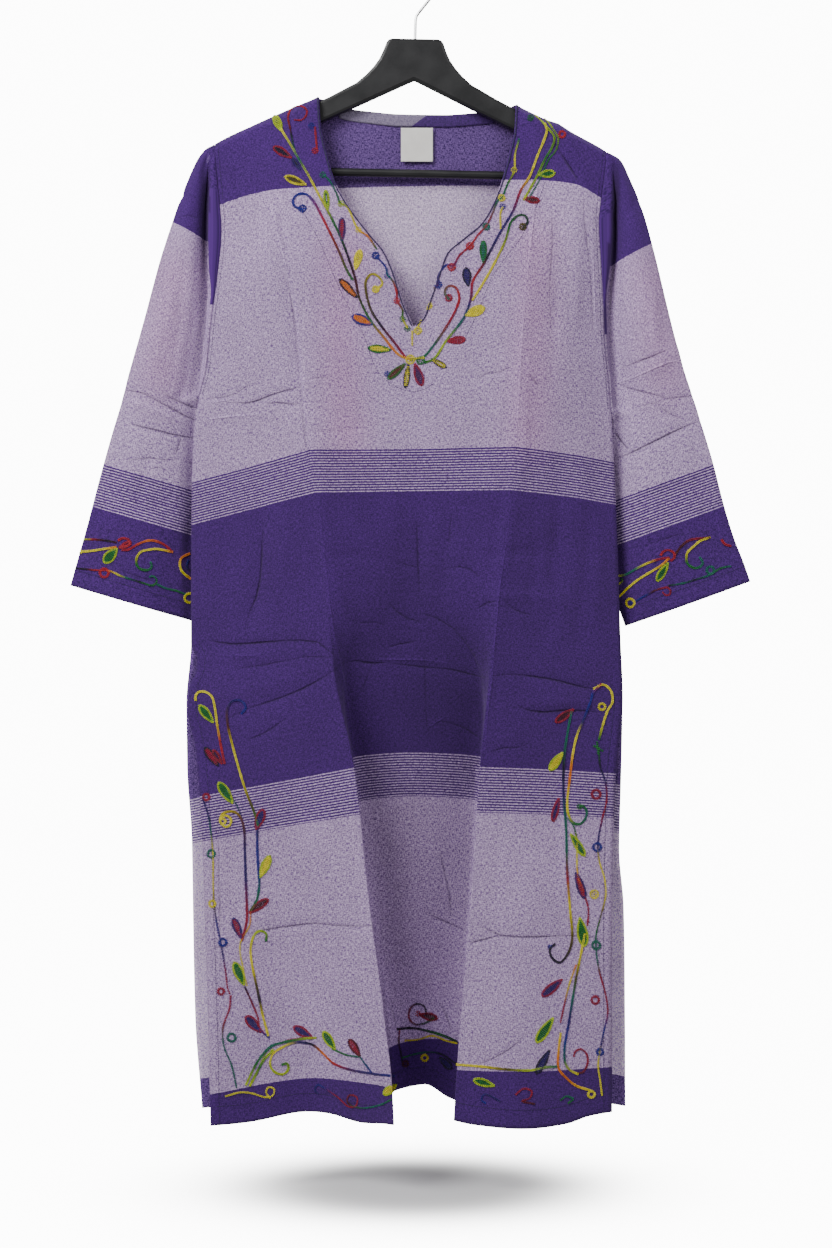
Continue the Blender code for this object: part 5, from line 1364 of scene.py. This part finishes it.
def stitchShape(name, strands, radius):
    # one stitch along +X with +Z away from the cloth, in metres
    mesh = bpy.data.meshes.new(name)
    shape = bmesh.new()
    for start, end in strands:
        strand(shape, Vector(start) * mm, Vector(end) * mm, radius * mm)
    bmesh.ops.recalc_face_normals(shape, faces=shape.faces)
    shape.to_mesh(mesh)
    shape.free()
    mesh.shade_smooth()
    return addObject(name, mesh)


def chainStitch():
    half, out = embroidery["step"] * 0.72, embroidery["spread"]
    strands = [((-half, side * out, 0.0), (half * 0.75, side * 0.28, 0.12)) for side in (-1, 1)]
    return stitchShape("chainStitch", strands, embroidery["thick"])


def stitchTree():
    # puts one stitch after another along lines that lie on cloth
    tree = bpy.data.node_groups.new("stitchesAlongLines", "GeometryNodeTree")
    for name, kind, value in (
        ("Lines", "Geometry", None), ("Stitch", "Object", None), ("Step", "Float", 0.0023),
        ("Unevenness", "Float", 0.12), ("Seed", "Int", 5), ("Thread", "Material", None),
    ):
        socket = tree.interface.new_socket(name, in_out="INPUT", socket_type="NodeSocket" + kind)
        if value is not None:
            socket.default_value = value
    tree.interface.new_socket("Stitches", in_out="OUTPUT", socket_type="NodeSocketGeometry")
    kit = NodeKit(tree)
    given, out = kit.make("NodeGroupInput"), tree.nodes.new("NodeGroupOutput").inputs

    def named(name, kind):
        return kit.make("GeometryNodeInputNamedAttribute", {"Name": name}, data_type=kind)["Attribute"]

    curves = kit.make("GeometryNodeMeshToCurve", {"Mesh": given["Lines"]})["Curve"]
    even = kit.make("GeometryNodeResampleCurve", {"Curve": curves, "Length": given["Step"]}, mode="LENGTH")
    stitch = kit.make("GeometryNodeObjectInfo", {"Object": given["Stitch"]})["Geometry"]
    axes = {"Primary Axis": named("clothNormal", "FLOAT_VECTOR")}
    axes["Secondary Axis"] = kit.make("GeometryNodeInputTangent")[0]
    turn = kit.make("FunctionNodeAxesToRotation", axes, primary_axis="Z", secondary_axis="X")["Rotation"]
    low, high = kit.minus(1.0, given["Unevenness"]), kit.plus(1.0, given["Unevenness"])
    vary = kit.make("FunctionNodeRandomValue", {2: low, 3: high, "Seed": given["Seed"]}, data_type="FLOAT")[1]
    size = kit.times(vary, named("stitchSize", "FLOAT"))
    places = {"Points": even["Curve"], "Instance": stitch, "Rotation": turn, "Scale": size}
    placed = kit.make("GeometryNodeInstanceOnPoints", places)["Instances"]
    real = kit.make("GeometryNodeRealizeInstances", {"Geometry": placed})["Geometry"]
    finished = kit.make("GeometryNodeSetMaterial", {"Geometry": real, "Material": given["Thread"]})
    kit.feed(out["Stitches"], finished["Geometry"])
    return tree


def lineMesh(name, lines):
    # lines: (points in mm, normals, colours, size of the stitches)
    verts, edges, normals, colours, sizes = [], [], [], [], []
    for points, turns, shades, size in lines:
        start = len(verts)
        verts += [tuple(point * mm) for point in points]
        edges += [(start + k, start + k + 1) for k in range(len(points) - 1)]
        normals += [tuple(turn) for turn in turns]
        colours += [tuple(shade) for shade in shades]
        sizes += [size] * len(points)
    mesh = bpy.data.meshes.new(name)
    mesh.from_pydata(verts, edges, [])
    mark(mesh, "clothNormal", normals, "FLOAT_VECTOR", "vector")
    mark(mesh, "threadColour", colours, "FLOAT_COLOR", "color")
    mark(mesh, "stitchSize", sizes)
    return addObject(name, mesh)


def grown(source, tree, **values):
    # the plain mesh that a Geometry Nodes tree makes of an object
    layer = source.modifiers.new("grow", "NODES")
    layer.node_group = tree
    for item in tree.interface.items_tree:
        if item.item_type == "SOCKET" and item.in_out == "INPUT" and item.name in values:
            layer[item.identifier] = values[item.name]
    depsgraph = bpy.context.evaluated_depsgraph_get()
    mesh = bpy.data.meshes.new_from_object(source.evaluated_get(depsgraph), depsgraph=depsgraph)
    name = source.name
    bpy.data.objects.remove(source)
    mesh.name = name
    return addObject(name, mesh)


class Needle:
    # finds places on the cloth's outer face
    leap = 9.0             # a step in depth that parts a line

    def __init__(self, nets, outward):
        self.verts, self.faces = joinNets(nets)
        self.normals = np.concatenate([netNormals(points, outward).reshape(-1, 3) for points, *_ in nets])
        self.tree = BVHTree.FromPolygons(self.verts.tolist(), self.faces.tolist())

    def pin(self, x, z):
        # the cloth's place and normal where the eye sees (x, z) of the middle plane
        start = Vector(eye)
        aim = (Vector((x, 0.0, z)) - start).normalized()
        place, _, face, _ = self.tree.ray_cast(start, aim)
        if place is None:
            return None
        corners = self.faces[face]
        weights = 1 / (np.linalg.norm(self.verts[corners] - np.array(place), axis=1) + 0.3)
        normal = (self.normals[corners] * weights[:, None]).sum(0)
        return np.array(place), normal / np.linalg.norm(normal)

    def pinned(self, flat):
        # the stretches of a flat line that lie on the cloth, parted where it jumps to another fold
        stretches, stretch = [], []
        for i, (x, _, z) in enumerate(flat):
            found = self.pin(x, z)
            if stretch and (found is None or abs(found[0][1] - stretch[-1][0][1]) > self.leap):
                stretches.append(stretch)
                stretch = []
            if found is not None:
                stretch.append((*found, i / max(1, len(flat) - 1)))
        stretches.append(stretch)
        return [[np.array(part) for part in zip(*stretch)] for stretch in stretches if len(stretch) > 1]


def shadesAlong(words, marks):
    stops = np.array([threads[word] for word in words.split()])
    at = marks * (len(stops) - 1)
    return np.stack([np.interp(at, np.arange(len(stops)), stops[:, c]) for c in range(4)], axis=-1)


def leafLines(outline, fill, x, z, tipX, tipZ, width):
    # two curved sides in one colour, and rows of the other colour between them
    base = np.array((x, z), float)
    axis = np.array((tipX, tipZ), float) - base
    reach = np.linalg.norm(axis)
    axis /= reach
    across = np.array([-axis[1], axis[0]])
    outer = width / 2 - 0.8

    def side(amount):
        shares = np.linspace(0, 1, 13)
        belly = np.sin(math.pi * shares**1.35) ** 0.6
        return base + np.outer(shares * reach, axis) + np.outer(belly * outer * amount, across)

    lines = [(outline, 0.9, np.concatenate([side(1), side(-1)[::-1][1:]]))]
    rows = max(1, int((width - 2.4) / 1.5))
    for k in range(rows):
        amount = 0.0 if rows == 1 else -0.6 + 1.2 * k / (rows - 1)
        lines.append((fill, 0.8, side(amount)[1:-1]))
    return lines


def ringLines(colour, x, z, radius, filled):
    # a small round of stitches, closed in the middle where it is filled
    turns = np.linspace(0, 2 * math.pi, 17)
    middle = np.array((x, z), float)
    spokes = np.stack([np.cos(turns), np.sin(turns)], axis=-1)
    lines = [(colour, 0.8 if radius > 3 else 0.55, middle + radius * spokes)]
    if filled:
        lines.append((colour, 0.6, middle + 0.45 * radius * spokes))
    elif radius > 3:
        lines.append((colour, 0.6, middle + (radius - 1.0) * spokes))
    return lines


def embroider(name, layout, needle):
    flat = list(layout["stems"])
    for row in layout["leaves"]:
        flat += leafLines(*row)
    for row in layout["rings"]:
        flat += ringLines(*row)
    lines = []
    for words, size, path in flat:
        for points, turns, marks in needle.pinned(roundPath(path, 1.5)):
            lifted = points + turns * embroidery["rise"]
            lines.append((lifted, turns, shadesAlong(words, marks), size))
    step = embroidery["step"] * mm
    return grown(lineMesh(name, lines), stitching, Stitch=chain, Step=step, Thread=threadMaterial)


def floss():
    material, kit, shader = newMaterial("embroideryFloss", 0.55, 0.05)
    place = kit.place()
    shade = kit.spread(kit.noise(place, 420.0), 0.3, 0.7, 0.75, 1.15)
    colour = kit.mix(1.0, kit.attribute("threadColour", "Color"), kit.grey(shade), "MULTIPLY")
    kit.feed(shader.inputs["Base Color"], colour)
    bump(kit, shader, kit.noise(place, 1500.0), 0.5, 0.0004)
    return material


def sewingThread():
    material, kit, shader = newMaterial("sewingThread", 0.7, 0.1)
    fibres = kit.noise(kit.place(), 1800.0)
    kit.feed(shader.inputs["Base Color"], kit.mix(fibres, tone(24, 16, 48), tone(54, 37, 92)))
    bump(kit, shader, fibres, 0.4, 0.0003)
    return material


stitching = stitchTree()
chain = chainStitch()
reach = sewing["length"] / 2
straight = stitchShape("straightStitch", [((-reach, 0.0, 0.0), (reach, 0.0, 0.0))], sewing["thick"])
threadMaterial = floss()
sewingMaterial = sewingThread()
frontNeedle = Needle(frontParts, 1)
cuffNeedles = {side: Needle(sleeveParts[side], side) for side in (-1, 1)}
flowers = [embroider(name + "Embroidery", layout, needle) for name, layout, needle in (
    ("neck", neckFlowers, frontNeedle), ("leftSlit", slitFlowersLeft, frontNeedle),
    ("rightSlit", slitFlowersRight, frontNeedle), ("hem", hemFlowers, frontNeedle),
    ("leftCuff", cuffFlowersLeft, cuffNeedles[-1]), ("rightCuff", cuffFlowersRight, cuffNeedles[1]),
)]
print("embroidery ready")


# Topstitching
def alongNet(points, normals, rowsAt, columnsAt):
    # a line over a net of points, at places between its rows and columns
    rowsAt = np.clip(rowsAt, 0, points.shape[0] - 1.001)
    columnsAt = np.clip(columnsAt, 0, points.shape[1] - 1.001)
    r, c = rowsAt.astype(int), columnsAt.astype(int)
    u, v = (rowsAt - r)[:, None], (columnsAt - c)[:, None]

    def blend(values):
        upper = values[r, c] * (1 - v) + values[r, c + 1] * v
        lower = values[r + 1, c] * (1 - v) + values[r + 1, c + 1] * v
        return upper * (1 - u) + lower * u

    return blend(points), blend(normals)


def alongLine(line, length):
    # how many of a line's steps it takes to go a length of cloth from its start
    away = np.concatenate([[0], np.cumsum(np.linalg.norm(np.diff(line[:40], axis=0), axis=1))])
    return np.interp(length, away, np.arange(len(away)))


def rowAtDown(downs, column, down):
    return float(np.interp(down, downs[:, column], np.arange(len(downs))))


def seamLine(part, sign, fromRow, toRow, inset, last):
    # a line down a panel, a length of cloth in from its first edge or its last
    points = part[0]
    rowsAt = np.arange(fromRow, toRow, 1.0)
    columnsAt = np.array([alongLine(points[row][::-1 if last else 1], inset) for row in rowsAt.astype(int)])
    columnsAt = points.shape[1] - 1 - columnsAt if last else columnsAt
    return alongNet(points, netNormals(points, sign), rowsAt, columnsAt)


def hemLine(part, sign, up, fromInset, toInset):
    # a line at one height above the hem, or above a cuff's edge
    points = part[0]
    columnsAt = np.arange(fromInset, points.shape[1] - 1 - toInset, 1.0)
    rowsAt = [len(points) - 1 - alongLine(points[::-1, column], up) for column in columnsAt.astype(int)]
    return alongNet(points, netNormals(points, sign), np.array(rowsAt), columnsAt)


def sew(name, lines, size=1.0):
    made = []
    for points, turns in lines:
        lifted = points + turns * sewing["rise"]
        made.append((lifted, turns, np.repeat([sewing["shade"]], len(points), axis=0), size))
    return grown(lineMesh(name, made), stitching, Stitch=straight, Step=sewing["step"] * mm, Thread=sewingMaterial)


left, right, back = frontParts[0], frontParts[1], backParts[0]
slitRows = [rowAtDown(left[2], 0, 537), rowAtDown(right[2], -1, 619)]
armRows = [rowAtDown(left[2], 0, 281), rowAtDown(right[2], -1, 317)]
armholes = [(4, row) for row in armRows]
slits, backSlits = [[(row, len(part[2]) - 1) for row in slitRows] for part in (left, back)]
seams = []
for parts, sign, spans, inset in (
    ((left, right), 1, armholes, sewing["armhole"]), ((left, right), 1, slits, sewing["slit"]),
    ((back, back), -1, backSlits, sewing["slit"]), ((back, back), -1, armholes, sewing["armhole"]),
):
    for part, span, last in zip(parts, spans, (False, True)):
        seams.append(seamLine(part, sign, *span, inset, last))
seams += [
    hemLine(left, 1, sewing["hem"], 1, 0), hemLine(right, 1, sewing["hem"], 0, 1),
    hemLine(back, -1, sewing["hem"], 1, 1),
    *[hemLine(sleeveParts[side][0], side, sewing["cuff"], 0, 0) for side in (-1, 1)],
]
neckFacings = (
    (-116, -255, -99, -286, -84, -321, -72, -348, -53, -383, -36, -425, -6, -443, 10, -441, 19, -436),
    (54, -385, 66, -362, 82, -323, 113, -280, 127, -251, 136, -226),
)
for path in neckFacings:
    seams += [(points, turns) for points, turns, _ in frontNeedle.pinned(roundPath(path, 2.0))]
sewn = sew("topstitching", seams)
neckEdges = [seamLine(part, 1, 2, joined, sewing["neck"], part is left) for part in (left, right)]
edging = sew("neckEdging", neckEdges, sewing["edging"])
print("topstitching ready")


# Binding and label
binding = {
    "height": 13.0, "wall": 1.0, "gap": 0.35, "drop": 1.0, "puff": 0.5,
    "behind": 0.6,             # room for half the back panel's wall
    "ends": (3.5, 6.755),      # places across the back
    "joinX": 5.0, "joinDown": 160.5, "joinLean": 1.35,     # where its two colours meet, slanting
}
label = {"centre": (3.0, -185.6), "size": (33.4, 35.4), "wall": 0.7, "level": 50.0, "out": 1.5}


def bindingNet():
    # a strip along the inside of the back neck, in front of the back panel
    inward = np.array([0.0, -(binding["behind"] + binding["gap"] + binding["wall"] / 2), 0.0])
    places = np.linspace(*binding["ends"], 70)
    drops = np.linspace(binding["drop"], binding["height"], 8)
    top = topDown(backSection, backTop, places)
    points = np.array([backPoint(top + drop, places) + inward for drop in drops])
    points[..., 1] -= (np.sin(np.linspace(0, math.pi, 8)) * binding["puff"])[:, None]
    return points, widthwise(points, 4, 35), np.repeat(drops[:, None], 70, axis=1)


def bindingMaterial():
    material, kit, shader = newMaterial("neckBinding", 0.85, 0.12)
    x, _, z = kit.split(kit.place())
    join = kit.plus(x, kit.times(kit.plus(z, binding["joinDown"] * mm), -binding["joinLean"]))
    mask = kit.math("LESS_THAN", join, binding["joinX"] * mm)
    out = kit.group(chambray, Place=kit.cut(), Mask=mask, **bindingYarns)
    kit.feed(shader.inputs["Base Color"], out["Colour"])
    bump(kit, shader, out["Relief"], 0.35, 0.0008)
    return material


bindingPiece = clothObject("neckBinding", [bindingNet()], [bindingMaterial()], 1)


def labelMaterial():
    # bare satin-woven ribbon
    material, kit, shader = newMaterial("labelRibbon", 0.55, 0.2)
    place = kit.place()
    x, _, z = kit.split(place)
    ribs = kit.math("SINE", kit.times(z, 2 * math.pi / 0.0011))
    weft = kit.math("SINE", kit.times(x, 2 * math.pi / 0.0008))
    weave = kit.times(ribs, weft)
    shade = kit.spread(kit.plus(kit.times(weave, 0.5), kit.noise(place, 90.0)), 0.0, 1.1)
    kit.feed(shader.inputs["Base Color"], kit.mix(shade, tone(232, 228, 223), tone(252, 250, 247)))
    bump(kit, shader, weave, 0.35, 0.0003)
    return material


def labelPiece():
    # hangs in front of the binding, its foot a little forward
    depth = backPoint(np.array([label["level"]]), np.array([5.0]))[0, 1]
    depth -= binding["behind"] + binding["gap"] + binding["wall"] + label["out"]
    wide, tall = label["size"]
    across = np.linspace(-wide / 2, wide / 2, 25)
    up = np.linspace(tall / 2, -tall / 2, 27)
    x, z = np.meshgrid(across, up)
    curl = 0.35 * np.sin(x / wide * 5.0 + 0.6) * (0.5 - z / tall) - 0.5 * (0.5 - z / tall) ** 2
    points = np.stack([x + label["centre"][0], depth + curl, z + label["centre"][1]], axis=-1)
    piece = clothObject("neckLabel", [(points, across * mm, label["level"] - z)], [labelMaterial()], 1)
    piece.modifiers["wall"].thickness = label["wall"] * mm
    return piece


labelRibbon = labelPiece()
print("binding and label ready")


# Hanger
def worn(kit, shader, wear, dark, light, smooth, rough):
    # colour and roughness that vary with where the surface is worn
    kit.feed(shader.inputs["Base Color"], kit.mix(wear, dark, light))
    kit.feed(shader.inputs["Roughness"], kit.spread(wear, 0.3, 0.7, smooth, rough))


def plasticMaterial():
    material, kit, shader = newMaterial("hangerPlastic", 0.42)
    place = kit.place()
    worn(kit, shader, kit.noise(place, 45.0), tone(24, 24, 26), tone(36, 36, 38), 0.36, 0.5)
    bump(kit, shader, kit.noise(place, 900.0, 3.0, 0.6), 0.25, 0.0003)
    return material


def steelMaterial():
    material, kit, shader = newMaterial("hookSteel", 0.2, 0.0, {"Metallic": 1.0})
    wear = kit.noise(kit.place(), 220.0, 3.0)
    worn(kit, shader, wear, tone(170, 170, 172), tone(214, 214, 216), 0.14, 0.28)
    return material


plastic = plasticMaterial()
for node, finish in (("hanger_body", plastic), ("hanger_bar", plastic), ("hanger_hook", steelMaterial())):
    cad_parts[node].data.materials.clear()
    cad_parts[node].data.materials.append(finish)
print("hanger ready")


# Stage
studio = {
    "floor": -1.27, "front": -3.2, "wallY": 6.0, "wallTop": 3.2, "bend": 1.2, "half": 5.0,
    # painted shadow on the floor:
    "paintedShadow": (0.215, 0.165),      # half the width and half the depth of the shade on the floor
    "glow": 12.0, "sky": 0.33,
    "lens": 72.115, "sensor": 36.0,
    "aim": (0.0, 0.0, -0.6),
    "lights": {
        "keyLight": ((-1.8, -2.3, 1.4), 1.6, 108.0), "fillLight": ((2.0, -2.4, 0.9), 1.8, 27.0),
    },
}
white = (1.0, 1.0, 1.0, 1.0)


def backdrop():
    # a floor that bends up into a wall, glowing white but for a shadow painted on the floor under the tunic
    profile = [(studio["front"], studio["floor"])]
    for turn in np.linspace(0, math.pi / 2, 25):
        reach = studio["wallY"] - studio["bend"] + studio["bend"] * math.sin(turn)
        profile.append((reach, studio["floor"] + studio["bend"] * (1 - math.cos(turn))))
    profile.append((studio["wallY"], studio["wallTop"]))
    verts = [(side * studio["half"], y, z) for y, z in profile for side in (-1, 1)]
    faces = [(2 * k, 2 * k + 1, 2 * k + 3, 2 * k + 2) for k in range(len(profile) - 1)]
    mesh = bpy.data.meshes.new("backdrop")
    mesh.from_pydata(verts, [], faces)
    mesh.shade_smooth()
    shine = {"Specular IOR Level": 0.1, "Emission Color": white}
    material, kit, shader = newMaterial("paperBackdrop", 0.9, 0.0, shine)
    place = kit.place()
    kit.feed(shader.inputs["Base Color"], kit.mix(kit.noise(place, 3.0), tone(246, 246, 246), tone(250, 250, 250)))
    # painted shadow: the glow fades out in an ellipse on the floor under the tunic
    across = zip(kit.split(place), studio["paintedShadow"])
    wide, deep = [kit.math("POWER", kit.math("DIVIDE", value, half), 2.0) for value, half in across]
    away = kit.math("POWER", kit.plus(wide, deep), 3.0)
    clear = kit.math("DIVIDE", away, kit.plus(away, 1.0))
    kit.feed(shader.inputs["Emission Strength"], kit.times(clear, studio["glow"]))
    mesh.materials.append(material)
    thing = addObject("backdrop", mesh)
    thing.visible_diffuse = False
    thing.visible_glossy = False


backdrop()
world = bpy.data.worlds.new("studio")
bpy.context.scene.world = world
world.use_nodes = True
sky = world.node_tree.nodes["Background"].inputs
sky[0].default_value, sky[1].default_value = white, studio["sky"]
for name, (place, size, power) in studio["lights"].items():
    lamp = bpy.data.lights.new(name, "AREA")
    lamp.shape = "SQUARE"
    lamp.size = size
    lamp.energy = power
    thing = addObject(name, lamp)
    thing.location = place
    thing.rotation_euler = (Vector(studio["aim"]) - Vector(place)).to_track_quat("-Z", "Y").to_euler()

camera = bpy.data.cameras.new("camera")
camera.sensor_fit = "VERTICAL"
camera.sensor_height = studio["sensor"]
camera.lens = studio["lens"]
view = addObject("camera", camera)
view.location = Vector(eye) * mm
view.rotation_euler = (math.pi / 2, 0.0, 0.0)
bpy.context.scene.camera = view


# Frame
for stitch in (chain, straight):
    bpy.data.objects.remove(stitch)
pieces = [
    (frontPiece, "cloth", "front_panel"), (backPiece, "cloth", "back_panel"),
    (sleeveParts["sleeveLeft"], "cloth", "sleeve_left"), (sleeveParts["sleeveRight"], "cloth", "sleeve_right"),
    (bindingPiece, "binding", "back_neck_binding"), (labelRibbon, "label", "neck_label"),
    *[(piece, "embroidery", None) for piece in flowers], (sewn, "thread", None), (edging, "thread", None),
]
for piece, finish, node in pieces:
    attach(piece, "root")
    if node:
        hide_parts(node)
